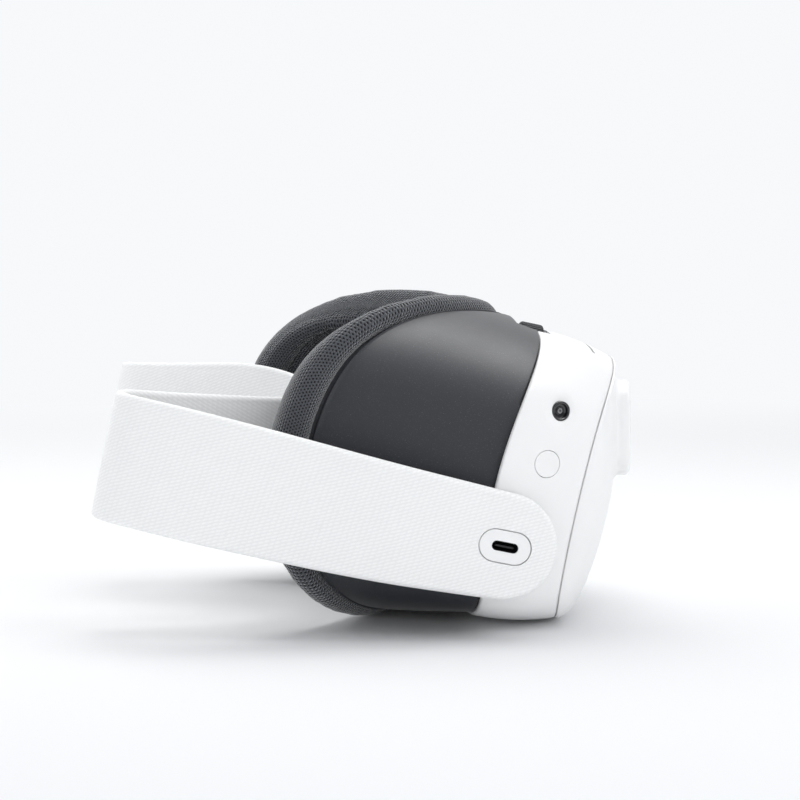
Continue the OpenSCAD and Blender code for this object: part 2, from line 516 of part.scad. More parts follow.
// exact pill bar across an arm end, from y0 to y1 outwards on side s
module island_bar(s, l, w, y0, y1) rotate([s * -90, 0, 0]) translate([0, 0, y0]) linear_extrude(y1 - y0) {
    square([l - w, w], center = true);
    translate([(l - w) / 2, 0]) circle(d = w);
    translate([-(l - w) / 2, 0]) circle(d = w);
}
module usb_island() color(white_c) placed() difference() {
    union() {
        island_bar(-1, 17.3, 10.6, arm_y + 0.55, arm_y + arm_t / 2 - 0.1);
        island_bar(-1, 11.2, 6, arm_y - 5, arm_y + 0.6);
    }
    island_bar(-1, 8.96, 3.28, arm_y - 6, arm_y + 4);
}
module usb_receptacle() color([0.05, 0.05, 0.05]) placed() {
    difference() {
        island_bar(-1, 8.94, 3.26, arm_y - 5, arm_y + 1.5);
        island_bar(-1, 8.34, 2.66, arm_y - 4.4, arm_y + 2);
    }
    translate([-3.2, -arm_y - 0.9, -0.35]) cube([6.4, 5.4, 0.7]);
}
module audio_island() color(white_c) placed() difference() {
    union() {
        island_bar(1, 17.3, 10.6, arm_y + 0.55, arm_y + arm_t / 2 - 0.1);
        rotate([-90, 0, 0]) translate([0, 0, arm_y - 8]) cylinder(r = 4.5, h = 8.6);
    }
    rotate([-90, 0, 0]) translate([0, 0, arm_y - 20]) cylinder(r = 3.0, h = 40);
}
module audio_jack() color([0.08, 0.08, 0.08]) placed() rotate([-90, 0, 0]) difference() {
    translate([0, 0, arm_y - 13.1]) cylinder(r = 2.98, h = 15.3);
    translate([0, 0, arm_y - 12.1]) cylinder(r = 1.76, h = 20);
}
module speaker(s) color([0.15, 0.15, 0.16]) placed() translate([-24.5, s * arm_y - 1.1, -8.4]) cube([11.2, 2.2, 16.8]);
module speaker_left() speaker(-1);
module speaker_right() speaker(1);

main_housing();
front_cover();
sensor_window_left();
sensor_window_center();
sensor_window_right();
front_camera_left();
front_camera_right();
depth_projector();
side_camera_left();
side_camera_right();
mid_frame();
eye_panel();
main_board();
heat_spreader();
fan_housing();
fan_rotor();
battery();
power_button();
volume_rocker();
ipd_wheel();
ipd_screw();
ipd_rail();
proximity_sensor();
vent_grilles();
lens_barrel_left();
lens_barrel_right();
lens_left();
lens_right();
display_left();
display_right();
face_shell();
face_cushion();
latch_left();
latch_right();
pivot_post_left();
pivot_post_right();
pivot_bushing_left();
pivot_bushing_right();
pivot_washers();
arm_core_left();
arm_core_right();
arm_sleeve_left();
arm_sleeve_right();
rear_strap();
usb_island();
usb_receptacle();
audio_island();
audio_jack();
speaker_left();
speaker_right();
frame_screws();
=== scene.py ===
import bpy, bmesh, math
import numpy as np
from mathutils import Vector, Matrix
from mathutils.bvhtree import BVHTree


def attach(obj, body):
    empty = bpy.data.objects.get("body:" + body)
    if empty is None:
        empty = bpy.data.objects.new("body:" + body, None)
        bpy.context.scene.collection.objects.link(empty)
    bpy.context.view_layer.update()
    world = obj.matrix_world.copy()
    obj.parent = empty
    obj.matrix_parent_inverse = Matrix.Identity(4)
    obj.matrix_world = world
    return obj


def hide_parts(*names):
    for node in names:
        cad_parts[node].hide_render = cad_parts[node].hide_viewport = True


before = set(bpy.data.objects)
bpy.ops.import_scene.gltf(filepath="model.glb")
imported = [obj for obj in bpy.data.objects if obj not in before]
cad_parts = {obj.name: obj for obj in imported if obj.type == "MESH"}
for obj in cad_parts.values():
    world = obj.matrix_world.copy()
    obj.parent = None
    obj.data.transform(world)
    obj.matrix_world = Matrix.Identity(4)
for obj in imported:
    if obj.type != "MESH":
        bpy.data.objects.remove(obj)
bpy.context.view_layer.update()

SC = bpy.context.scene
COL = SC.collection

# ------------------------------------------------------------------ frame of the headset
PITCH = math.radians(12.0)
CP, SP = math.cos(PITCH), math.sin(PITCH)
SX, LF = 38.1, 31.08


def R(p):
    """headset millimetres (forward, to the wearer's right, to the chin) to row metres"""
    p = np.asarray(p, float)
    u, y, v = p[..., 0], p[..., 1], p[..., 2]
    return np.stack([SX + u * CP + v * SP, y, LF - u * SP + v * CP], -1) / 1000.0


H2R = Matrix(((CP, 0, SP, SX / 1000), (0, 1, 0, 0), (-SP, 0, CP, LF / 1000), (0, 0, 0, 1)))


# ------------------------------------------------------------------ camera, floor, light
cam = bpy.data.objects.new("camera", bpy.data.cameras.new("camera"))
COL.objects.link(cam)
cam.data.lens = 111.5
cam.data.sensor_width = 36.0
cam.data.clip_start, cam.data.clip_end = 0.05, 30
cam.location = (SX / 1000 - 0.15006, -0.8830, LF / 1000 + 0.10013)
cam.rotation_euler = (math.radians(90 - 3.7), 0, math.radians(-8.3))
cam.data.dof.use_dof = False
SC.camera = cam
SC.view_settings.view_transform = "Standard"
SC.view_settings.look = "None"


# ------------------------------------------------------------------ node helpers
class NT:
    def __init__(self, name):
        self.m = bpy.data.materials.new(name)
        self.m.use_nodes = True
        self.t = self.m.node_tree
        self.t.nodes.clear()
        self.out = self.n("ShaderNodeOutputMaterial")
        self.b = self.n("ShaderNodeBsdfPrincipled")
        self.l(self.b.outputs[0], self.out.inputs[0])

    def n(self, kind, **kw):
        x = self.t.nodes.new(kind)
        for k, v in kw.items():
            setattr(x, k, v)
        return x

    def l(self, a, b):
        self.t.links.new(a, b)

    def put(self, sock, v):
        if hasattr(v, "is_linked") or isinstance(v, bpy.types.NodeSocket):
            self.l(v, sock)
        else:
            sock.default_value = v

    def math(self, op, *a, clamp=False):
        x = self.n("ShaderNodeMath", operation=op, use_clamp=clamp)
        for i, v in enumerate(a):
            self.put(x.inputs[i], v)
        return x.outputs[0]

    def vmath(self, op, *a, out=0):
        x = self.n("ShaderNodeVectorMath", operation=op)
        for i, v in enumerate(a):
            self.put(x.inputs[i], v)
        return x.outputs[out]

    def coord(self, kind="Object"):
        return self.n("ShaderNodeTexCoord").outputs[kind]

    def uv(self, name):
        return self.n("ShaderNodeUVMap", uv_map=name).outputs[0]

    def noise(self, vec, scale, detail=2.0, rough=0.5):
        x = self.n("ShaderNodeTexNoise")
        self.put(x.inputs["Vector"], vec)
        x.inputs["Scale"].default_value = scale
        x.inputs["Detail"].default_value = detail
        x.inputs["Roughness"].default_value = rough
        return x.outputs["Fac"]

    def voronoi(self, vec, scale, feature="F1", out="Distance"):
        x = self.n("ShaderNodeTexVoronoi", feature=feature)
        self.put(x.inputs["Vector"], vec)
        x.inputs["Scale"].default_value = scale
        return x.outputs[out]

    def ramp(self, fac, *stops, mode="LINEAR"):
        x = self.n("ShaderNodeValToRGB")
        x.color_ramp.interpolation = mode
        e = x.color_ramp.elements
        while len(e) < len(stops):
            e.new(0.5)
        for s, (p, c) in zip(e, stops):
            s.position = p
            s.color = (c, c, c, 1) if isinstance(c, (int, float)) else (*c, 1)
        self.put(x.inputs[0], fac)
        return x.outputs[0]

    def smooth(self, v, a, b, lo=0.0, hi=1.0):
        x = self.n("ShaderNodeMapRange", interpolation_type="SMOOTHSTEP")
        self.put(x.inputs[0], v)
        for i, q in enumerate((a, b, lo, hi)):
            x.inputs[1 + i].default_value = q
        return x.outputs[0]

    def lin(self, v, a, b, lo=0.0, hi=1.0):
        x = self.n("ShaderNodeMapRange")
        self.put(x.inputs[0], v)
        for i, q in enumerate((a, b, lo, hi)):
            x.inputs[1 + i].default_value = q
        return x.outputs[0]

    def mix(self, f, a, b, mode="MIX"):
        x = self.n("ShaderNodeMix", data_type="RGBA", blend_type=mode)
        self.put(x.inputs[0], f)
        for i, c in ((6, a), (7, b)):
            if isinstance(c, (tuple, list)):
                x.inputs[i].default_value = (*c[:3], 1)
            else:
                self.l(c, x.inputs[i])
        return x.outputs[2]

    def bump(self, height, strength=0.3, dist=0.0002, normal=None):
        x = self.n("ShaderNodeBump")
        x.inputs["Strength"].default_value = strength
        x.inputs["Distance"].default_value = dist
        self.l(height, x.inputs["Height"])
        if normal is not None:
            self.l(normal, x.inputs["Normal"])
        self.l(x.outputs[0], self.b.inputs["Normal"])
        return x.outputs[0]

    def set(self, **kw):
        names = {"color": "Base Color", "rough": "Roughness", "metal": "Metallic", "ior": "IOR", "coat": "Coat Weight",
                 "coat_rough": "Coat Roughness", "sheen": "Sheen Weight", "sheen_rough": "Sheen Roughness",
                 "spec": "Specular IOR Level", "trans": "Transmission Weight", "sheen_tint": "Sheen Tint"}
        for k, v in kw.items():
            s = self.b.inputs[names[k]]
            if isinstance(v, (tuple, list)):
                v = (*v[:3], 1)
            self.put(s, v)
        return self


def moulded(name, color, rough=0.42, grain=2600.0, strength=0.12, dist=0.00006, vary=0.03, rough_vary=0.06, wear=0.0,
            wear_color=None, **kw):
    """moulded plastic: fine spark-eroded grain, slow colour drift, uneven gloss"""
    t = NT(name)
    c = t.coord()
    g = t.noise(c, grain, 3.0, 0.6)
    slow = t.noise(c, 28.0, 3.0, 0.55)
    handle = t.noise(c, 90.0, 4.0, 0.6)
    lo = tuple(max(0.0, x * (1 - vary)) for x in color)
    hi = tuple(min(1.0, x * (1 + vary)) for x in color)
    col = t.mix(t.lin(slow, 0.3, 0.7), lo, hi)
    if wear and wear_color:
        geo = t.n("ShaderNodeNewGeometry")
        edge = t.smooth(geo.outputs["Pointiness"], 0.53, 0.62)
        col = t.mix(t.math("MULTIPLY", edge, wear), col, wear_color)
    t.set(color=col, rough=t.lin(handle, 0.25, 0.75, rough - rough_vary, rough + rough_vary), **kw)
    t.bump(g, strength, dist)
    return t.m


MAT = {}
MAT["white"] = moulded("white_shell", (0.868, 0.866, 0.864), 0.38, 2300, 0.10, 0.00005, 0.012, 0.05, spec=0.3)
MAT["white_trim"] = moulded("white_trim", (0.868, 0.866, 0.864), 0.42, 2600, 0.10, 0.00005, 0.012, 0.05, spec=0.3)
MAT["dark_inner"] = moulded("dark_inner", (0.030, 0.031, 0.034), 0.55, 1500, 0.25, 0.00012, 0.12, 0.06)
MAT["frame_plastic"] = moulded("frame_plastic", (0.30, 0.31, 0.33), 0.55, 900, 0.2, 0.0001, 0.06, 0.08)
MAT["bush"] = moulded("bush_polymer", (0.72, 0.72, 0.67), 0.4, 1200, 0.1, 0.00005, 0.03, 0.06)
MAT["core"] = moulded("arm_core_plastic", (0.70, 0.70, 0.71), 0.5, 1400, 0.12, 0.00006, 0.03, 0.06)


def black_gloss(name="black_gloss", color=(0.006, 0.006, 0.008), rough=0.07):
    t = NT(name)
    c = t.coord()
    smear = t.noise(c, 160.0, 4.0, 0.7)
    dust = t.voronoi(c, 900.0)
    t.set(color=t.mix(t.smooth(dust, 0.05, 0.02), color, (0.05, 0.05, 0.055)), rough=t.lin(smear, 0.3, 0.75, rough, rough + 0.10),
          coat=0.6, coat_rough=0.03, ior=1.52)
    t.bump(smear, 0.02, 0.00004)
    return t.m


MAT["gloss"] = black_gloss()


def steel(name="steel", color=(0.60, 0.61, 0.63), rough=0.28, metal=1.0):
    t = NT(name)
    c = t.coord()
    st = t.vmath("MULTIPLY", c, (400.0, 9000.0, 400.0))
    line = t.noise(st, 1.0, 3.0, 0.6)
    slow = t.noise(c, 120.0, 3.0, 0.6)
    t.set(color=t.mix(t.lin(line, 0.3, 0.7), tuple(x * 0.86 for x in color), color),
          rough=t.lin(slow, 0.3, 0.7, rough - 0.06, rough + 0.1), metal=metal)
    t.bump(line, 0.08, 0.00003)
    return t.m


MAT["steel"] = steel()
MAT["heat"] = steel("heat_metal", (0.66, 0.60, 0.54), 0.34)


def pcb():
    t = NT("circuit_board")
    c = t.coord()
    cell = t.voronoi(c, 420.0, "DISTANCE_TO_EDGE")
    trace = t.smooth(cell, 0.05, 0.09, 1.0, 0.0)
    pads = t.smooth(t.voronoi(c, 520.0), 0.16, 0.12)
    col = t.mix(trace, (0.012, 0.085, 0.050), (0.02, 0.16, 0.09))
    col = t.mix(pads, col, (0.55, 0.46, 0.22))
    t.set(color=col, rough=0.38, metal=t.math("MULTIPLY", pads, 0.8))
    t.bump(t.math("ADD", trace, pads), 0.25, 0.00005)
    return t.m


MAT["pcb"] = pcb()


def wrap():
    t = NT("battery_wrap")
    c = t.coord()
    fold = t.noise(t.vmath("MULTIPLY", c, (60.0, 300.0, 60.0)), 1.0, 5.0, 0.6)
    t.set(color=t.mix(fold, (0.05, 0.055, 0.07), (0.09, 0.10, 0.125)), rough=t.lin(fold, 0.3, 0.7, 0.22, 0.4))
    t.bump(fold, 0.35, 0.0003)
    return t.m


MAT["wrap"] = wrap()


def port():
    t = NT("port_black")
    c = t.coord()
    g = t.noise(c, 2600.0, 3.0, 0.6)
    slow = t.noise(c, 500.0, 2.0, 0.5)
    t.set(color=t.mix(t.lin(slow, 0.3, 0.7), (0.010, 0.010, 0.011), (0.022, 0.022, 0.024)), rough=t.lin(slow, 0.3, 0.7, 0.28, 0.42))
    t.bump(g, 0.15, 0.00005)
    return t.m


MAT["port"] = port()


def port_deep():
    """receptacle in painted shade: near-black and matt, so that the slot reads dark"""
    t = NT("port_deep_black")
    c = t.coord()
    g = t.noise(c, 2600.0, 3.0, 0.6)
    slow = t.noise(c, 700.0, 2.0, 0.5)
    t.set(color=t.mix(t.lin(slow, 0.3, 0.7), (0.006, 0.006, 0.007), (0.014, 0.014, 0.015)), rough=t.lin(slow, 0.3, 0.7, 0.55, 0.70), spec=0.12)
    t.bump(g, 0.15, 0.00005)
    return t.m


MAT["port_deep"] = port_deep()


def shell_mat():
    """dark satin shell, slightly blue-grey: fine grain bump, with painted glints, light specks in the base colour
    standing for sparkle
    """
    t = NT("dark_shell")
    c = t.coord()
    g = t.noise(c, 1500.0, 4.0, 0.65)
    grain_and_glint_cells = t.voronoi(c, 1900.0)
    slow = t.noise(c, 22.0, 3.0, 0.6)
    hand = t.noise(c, 75.0, 4.0, 0.65)
    painted_glint_specks = t.voronoi(c, 760.0)
    col = t.mix(t.lin(slow, 0.3, 0.7), (0.0058, 0.0072, 0.0118), (0.0082, 0.0098, 0.0152))
    # painted glints: light cells and specks mixed into the base colour as sparkle
    col = t.mix(t.smooth(grain_and_glint_cells, 0.22, 0.08, 0.0, 0.60), col, (0.092, 0.098, 0.120))
    col = t.mix(t.smooth(painted_glint_specks, 0.110, 0.060, 0.0, 0.55), col, (0.12, 0.125, 0.145))
    t.set(color=col, rough=t.lin(hand, 0.25, 0.75, 0.54, 0.60), ior=1.74, sheen=0.10, sheen_rough=0.30)
    t.bump(t.math("ADD", g, t.math("MULTIPLY", grain_and_glint_cells, 0.8)), 0.22, 0.00007)
    return t.m


MAT["shell"] = shell_mat()


def hexes(t, uv, pitch, stretch=1.0):
    """distance from the nearest centre of a hexagonal grid, in pitches, and the cell's own offset vector"""
    s = (1.0, 1.7320508, 1.0)
    p = t.vmath("MULTIPLY", uv, (1.0 / pitch, 1.0 / (pitch * stretch), 0.0))
    half = tuple(x / 2 for x in s)
    neg = tuple(-x / 2 for x in s)
    a = t.vmath("WRAP", p, half, neg)
    b = t.vmath("WRAP", t.vmath("ADD", p, half), half, neg)
    la = t.vmath("LENGTH", t.vmath("MULTIPLY", a, (1.0, 1.0, 0.0)), out=1)
    lb = t.vmath("LENGTH", t.vmath("MULTIPLY", b, (1.0, 1.0, 0.0)), out=1)
    return t.math("MINIMUM", la, lb), p


def knit(name="cushion_knit", uvname="knit"):
    """open spacer knit: threads round hexagonal holes, with a looser fibre on top"""
    t = NT(name)
    uv = t.uv(uvname)
    c = t.coord()
    wob = t.n("ShaderNodeTexNoise")
    t.l(c, wob.inputs["Vector"])
    wob.inputs["Scale"].default_value = 700.0
    wob.inputs["Detail"].default_value = 2.0
    jit = t.vmath("MULTIPLY", t.vmath("SUBTRACT", wob.outputs["Color"], (0.5, 0.5, 0.5)), (0.00035, 0.00035, 0.0))
    d, p = hexes(t, t.vmath("ADD", uv, jit), 0.00118, 0.82)
    hole = t.smooth(d, 0.20, 0.39, 1.0, 0.0)
    fibre = t.noise(c, 5200.0, 3.0, 0.7)
    loops = t.math("SINE", t.math("MULTIPLY", d, 21.0))
    slow = t.noise(c, 60.0, 3.0, 0.6)
    thread = t.mix(t.lin(fibre, 0.25, 0.75), (0.048, 0.052, 0.060), (0.114, 0.119, 0.132))
    thread = t.mix(t.lin(slow, 0.3, 0.7, 0.0, 0.25), thread, (0.06, 0.062, 0.07))
    col = t.mix(hole, thread, (0.007, 0.007, 0.009))
    t.set(color=col, rough=0.88, sheen=0.60, sheen_rough=0.40, spec=0.2)
    h = t.math("ADD", t.math("MULTIPLY", t.smooth(d, 0.12, 0.42), 1.0), t.math("MULTIPLY", fibre, 0.25))
    t.bump(h, 0.9, 0.00045)
    return t.m


MAT["knit"] = knit()


def twill(name="strap_fabric", uvname="twill"):
    """fine diagonal twill; UVs are metres along and across the band"""
    t = NT(name)
    uv = t.uv(uvname)
    c = t.coord()
    sep = t.n("ShaderNodeSeparateXYZ")
    t.l(uv, sep.inputs[0])
    wob = t.math("MULTIPLY", t.math("SUBTRACT", t.noise(c, 320.0, 3.0, 0.6), 0.5), 0.00070)
    ang = math.radians(25.0)
    across = t.math("ADD", t.math("ADD", t.math("MULTIPLY", sep.outputs[0], math.sin(ang)), t.math("MULTIPLY", sep.outputs[1], math.cos(ang))), wob)
    along = t.math("SUBTRACT", t.math("MULTIPLY", sep.outputs[0], math.cos(ang)), t.math("MULTIPLY", sep.outputs[1], math.sin(ang)))
    pitch = 0.00108
    ph = t.math("MULTIPLY", across, 2 * math.pi / pitch)
    ridge = t.lin(t.math("SINE", ph), -1.0, 1.0)
    # each ridge is a row of short floats, half a float out of step with the next
    row = t.math("FLOOR", t.math("MULTIPLY", across, 1 / pitch))
    fl = t.math("SINE", t.math("ADD", t.math("MULTIPLY", along, 2 * math.pi / 0.0021), t.math("MULTIPLY", row, 2.1)))
    knots = t.math("MULTIPLY", t.lin(fl, -0.8, 0.6, 0.36, 1.0), t.lin(t.noise(c, 900.0, 2.0, 0.6), 0.3, 0.6, 0.45, 1.0))
    fibre = t.noise(c, 4200.0, 3.0, 0.7)
    slow = t.noise(c, 35.0, 3.0, 0.6)
    h = t.math("MULTIPLY", ridge, knots)
    # painted shade: grooves between the twill ridges darker, ridge tops lighter, following the bump height
    shade = t.smooth(h, 0.0, 0.55, 0.0, 1.0)
    col = t.mix(shade, (0.830, 0.829, 0.826), (0.905, 0.903, 0.899))
    col = t.mix(t.lin(slow, 0.3, 0.7, 0.0, 0.06), col, (0.83, 0.83, 0.83))
    t.set(color=col, rough=0.86, sheen=0.25, sheen_rough=0.4, spec=0.25)
    t.bump(t.math("ADD", h, t.math("MULTIPLY", fibre, 0.22)), 0.30, 0.00015)
    return t.m


MAT["twill"] = twill()


def lens_mat():
    t = NT("lens_glass")
    c = t.coord()
    smear = t.noise(c, 120.0, 3.0, 0.6)
    t.set(color=(0.93, 0.95, 1.0), rough=t.lin(smear, 0.3, 0.7, 0.01, 0.04), trans=0.92, ior=1.5, coat=0.3, coat_rough=0.02)
    t.bump(smear, 0.01, 0.00002)
    return t.m


MAT["lens"] = lens_mat()


def display_mat():
    t = NT("display_glass")
    c = t.coord()
    grid = t.voronoi(c, 3000.0)
    smear = t.noise(c, 200.0, 3.0, 0.6)
    t.set(color=t.mix(t.lin(grid, 0.1, 0.6), (0.004, 0.005, 0.008), (0.012, 0.013, 0.018)), rough=t.lin(smear, 0.3, 0.7, 0.08, 0.14), coat=0.5)
    t.bump(smear, 0.01, 0.00002)
    return t.m


MAT["display"] = display_mat()


# ------------------------------------------------------------------ mesh helpers
def add_object(name, me, mat=None):
    ob = bpy.data.objects.new(name, me)
    COL.objects.link(ob)
    if mat is not None:
        me.materials.clear()
        me.materials.append(mat)
    return ob


def finish_mesh(me, angle=34.0, recalc=True):
    if recalc:
        bm = bmesh.new()
        bm.from_mesh(me)
        bmesh.ops.remove_doubles(bm, verts=bm.verts, dist=1e-7)
        bmesh.ops.recalc_face_normals(bm, faces=bm.faces)
        bm.to_mesh(me)
        bm.free()
    me.shade_smooth()
    me.set_sharp_from_angle(angle=math.radians(angle))
    me.update()


def poly_object(name, verts, faces, mat=None, angle=34.0, recalc=True):
    me = bpy.data.meshes.new(name)
    me.from_pydata([tuple(v) for v in np.asarray(verts, float)], [], faces)
    me.update()
    finish_mesh(me, angle, recalc)
    return add_object(name, me, mat)


def ring_faces(Rn, N, wrap=False, base=0):
    f = []
    for i in range(Rn if wrap else Rn - 1):
        i2 = (i + 1) % Rn
        for j in range(N):
            j2 = (j + 1) % N
            f.append((base + i * N + j, base + i * N + j2, base + i2 * N + j2, base + i2 * N + j))
    return f


def skin(name, rings, mat=None, wrap=True, caps=False, angle=34.0, frame_fn=R):
    """closed skin over rings of points in headset millimetres"""
    rings = np.asarray(rings, float)
    Rn, N = rings.shape[:2]
    verts = rings.reshape(-1, 3)
    faces = ring_faces(Rn, N, wrap)
    if caps:
        verts = np.concatenate([verts, rings[0].mean(0)[None], rings[-1].mean(0)[None]])
        a, b = Rn * N, Rn * N + 1
        faces += [(a, j, (j + 1) % N) for j in range(N)]
        faces += [(b, (Rn - 1) * N + (j + 1) % N, (Rn - 1) * N + j) for j in range(N)]
    return poly_object(name, frame_fn(verts), faces, mat, angle)


def lathe(name, profile, M, mat=None, n=96, angle=30.0, close=True):
    """profile [(r, x)] turned about local x of the 4x4 M (headset mm); closed round unless it starts and ends on the axis"""
    prof = np.asarray(profile, float)
    a = np.arange(n) * 2 * math.pi / n
    pts, faces, idx = [], [], []
    for r, x in prof:
        if r < 1e-6:
            idx.append([len(pts)] * n)
            pts.append((x, 0, 0))
        else:
            idx.append(list(range(len(pts), len(pts) + n)))
            pts += [(x, r * math.cos(q), r * math.sin(q)) for q in a]
    k = len(prof)
    for i in range(k if close else k - 1):
        A, B = idx[i], idx[(i + 1) % k]
        for j in range(n):
            j2 = (j + 1) % n
            f = []
            for v in (A[j], A[j2], B[j2], B[j]):
                if v not in f:
                    f.append(v)
            if len(f) > 2:
                faces.append(tuple(f))
    pts = np.asarray(pts, float)
    pts = (np.asarray(M)[:3, :3] @ pts.T).T + np.asarray(M)[:3, 3]
    return poly_object(name, R(pts), faces, mat, angle)


def arc(c, r, a0, a1, n):
    """points (c0 + r cos, c1 + r sin), degrees"""
    return [(c[0] + r * math.cos(math.radians(a0 + (a1 - a0) * i / n)), c[1] + r * math.sin(math.radians(a0 + (a1 - a0) * i / n))) for i in range(n + 1)]


def stadium(w, l, n=24):
    """outline of a stadium, long way up, as (y, z, ny, nz), counter-clockwise"""
    r, h, o = w / 2, (l - w) / 2, []
    for i in range(n + 1):
        q = math.pi * i / n
        o.append((r * math.cos(q), h + r * math.sin(q), math.cos(q), math.sin(q)))
    m = 10
    for i in range(1, m):
        o.append((-r, h - 2 * h * i / m, -1.0, 0.0))
    for i in range(n + 1):
        q = math.pi + math.pi * i / n
        o.append((r * math.cos(q), -h + r * math.sin(q), math.cos(q), math.sin(q)))
    for i in range(1, m):
        o.append((r, -h + 2 * h * i / m, 1.0, 0.0))
    return np.asarray(o)


def loft_stadium(name, w, l, profile, M, mat, caps=True, wrap=False, lying=False, n=24, angle=30.0):
    """profile [(outward offset, x)] swept round a stadium in the local y-z plane of M"""
    o = stadium(w, l, n)
    rings = []
    for d, x in profile:
        y, z = o[:, 0] + d * o[:, 2], o[:, 1] + d * o[:, 3]
        if lying:
            y, z = z, y
        rings.append(np.stack([np.full(len(o), x), y, z], -1))
    rings = np.asarray(rings)
    A = np.asarray(M)
    rings = rings @ A[:3, :3].T + A[:3, 3]
    return skin(name, rings, mat, wrap=wrap, caps=caps, angle=angle)


def cutter_cyl(M, r, x0, x1, n=128):
    ob = lathe("cut", [(0, x0), (r, x0), (r, x1), (0, x1)], M, None, n, close=False)
    return ob


def cutter_box(lo, hi, M=None):
    x0, y0, z0 = lo
    x1, y1, z1 = hi
    p = np.array([(x, y, z) for x in (x0, x1) for y in (y0, y1) for z in (z0, z1)], float)
    if M is not None:
        A = np.asarray(M)
        p = p @ A[:3, :3].T + A[:3, 3]
    f = [(0, 1, 3, 2), (4, 6, 7, 5), (0, 4, 5, 1), (2, 3, 7, 6), (0, 2, 6, 4), (1, 5, 7, 3)]
    return poly_object("cut", R(p), f)


def rounded_cutter(lo, hi, r, M=None):
    """box cutter with rounded corners seen along z (x-y rounded)"""
    x0, y0, z0 = lo
    x1, y1, z1 = hi
    o = []
    for cx, cy, a in ((x1 - r, y1 - r, 0), (x0 + r, y1 - r, 90), (x0 + r, y0 + r, 180), (x1 - r, y0 + r, 270)):
        o += arc((cx, cy), r, a, a + 90, 8)
    o = np.asarray(o)
    rings = np.asarray([np.concatenate([o, np.full((len(o), 1), z)], 1) for z in (z0, z1)])
    if M is not None:
        A = np.asarray(M)
        rings = rings @ A[:3, :3].T + A[:3, 3]
    return skin("cut", rings, None, wrap=False, caps=True)


def apply_mods(ob):
    bpy.context.view_layer.update()
    dg = bpy.context.evaluated_depsgraph_get()
    me = bpy.data.meshes.new_from_object(ob.evaluated_get(dg), preserve_all_data_layers=True, depsgraph=dg)
    old = ob.data
    ob.modifiers.clear()
    ob.data = me
    me.name = ob.name
    if old.users == 0:
        bpy.data.meshes.remove(old)


def boolean(ob, cutters, op="DIFFERENCE", angle=34.0):
    for c in cutters:
        m = ob.modifiers.new("b", "BOOLEAN")
        m.operation, m.solver, m.object = op, "EXACT", c
    apply_mods(ob)
    for c in cutters:
        me = c.data
        bpy.data.objects.remove(c)
        bpy.data.meshes.remove(me)
    bm = bmesh.new()
    bm.from_mesh(ob.data)
    bmesh.ops.remove_doubles(bm, verts=bm.verts, dist=2e-6)
    bmesh.ops.dissolve_degenerate(bm, edges=bm.edges, dist=1e-6)
    bm.to_mesh(ob.data)
    bm.free()
    ob.data.shade_smooth()
    ob.data.set_sharp_from_angle(angle=math.radians(angle))


def bevel(ob, width_mm, segments=3, angle=40.0):
    m = ob.modifiers.new("bevel", "BEVEL")
    m.width, m.segments, m.limit_method, m.angle_limit = width_mm / 1000, segments, "ANGLE", math.radians(angle)
    m.use_clamp_overlap = True
    m.harden_normals = False


def place(x=0, y=0, z=0, rot=()):
    """4x4 in headset mm: translation then rotations given as ('X', degrees), applied left to right like nested frames"""
    M = Matrix.Translation((x, y, z))
    for ax, d in rot:
        M = M @ Matrix.Rotation(math.radians(d), 4, ax)
    return M


def piece(ob, body, *nodes, slot=None):
    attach(ob, body)
    if nodes:
        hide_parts(*nodes)
    return ob


def ss(x):
    x = np.clip(x, 0, 1)
    return x * x * (3 - 2 * x)


# ------------------------------------------------------------------ surface rules, headset mm
hw, hh, hz, hn, hnb, rim_x, wall = 85.5, 50.8, 22.2, 3.6, 6.0, -5.7, 2.5
seam_x, nose_x, front_ry, front_rz, notch = 31.5, 48.0, 200.0, 137.0, 10.0
pod_y, pod_z, pod_l, pod_w, pod_h = 45.0, 44.5, 33.0, 15.0, 4.3
button_x, button_z, button_r, cam_x, cam_z, cam_r = 10.0, 28.9, 4.5, 11.4, 46.9, 3.3
cw, ch, cz, shell_t, pad_x, pad_r, pad_out, pad_gap = 69.2, 54.6, 20.5, 2.0, 6.5, 8.0, 4.3, 0.5
ring_n, ring_nb = 4.5, 5.6
eye_y, eye_z, barrel_r = 32.0, 22.0, 24.0
arm_y, arm_t, arm_r, strap_h, strap_t = 90.0, 4.6, 17.7, 42.7, 3.6


def se(t, a, b, n):
    return 1 / ((np.abs(np.cos(t)) / a) ** n + (np.abs(np.sin(t)) / b) ** n) ** (1 / n)


def outline(t, a, b, zc, n, nb, d, w):
    r = np.where(np.sin(t) > 0, se(t, a, b, n), se(t, a, b, nb))
    y, v = r * np.cos(t), r * np.sin(t)
    return y, zc + v - np.where(v > 0, d * np.exp(-((y / w) ** 2)), 0)


def seam(y, z):
    return seam_x - 8 * np.minimum(1, np.abs(y) / 79) ** 3 + 1.6 * ((z - 5) / 45) ** 2


def rim(z):
    return rim_x + 10.5 * ((z - 15) / 56) ** 2


def rim_at(t):
    return rim(outline(t, hw, hh, hz, hn, hnb, notch, 16)[1])


def dome(y, z):
    return nose_x - y * y / (2 * front_ry) - (z - 15) ** 2 / (2 * front_rz)


def ha(w):
    return hw - 7.3 * w * w


def hb(w):
    return hh - 3.85 * np.power(w, 2.2)


def even_t(a, b, n, nb, N):
    """N angles spaced evenly by length round an outline"""
    t = np.linspace(0, 2 * math.pi, 8001)
    r = np.where(np.sin(t) > 0, se(t, a, b, n), se(t, a, b, nb))
    y, z = r * np.cos(t), r * np.sin(t)
    s = np.concatenate([[0], np.cumsum(np.hypot(np.diff(y), np.diff(z)))])
    return np.interp(np.arange(N) * s[-1] / N, s, t)


def side_w(x, z):
    return (x - rim(z)) / (seam(77, z) - rim(z))


def side_y(x, z):
    w = side_w(x, z)
    return ha(w) * (1 - (abs(z - hz) / hb(w)) ** hn) ** (1 / hn)


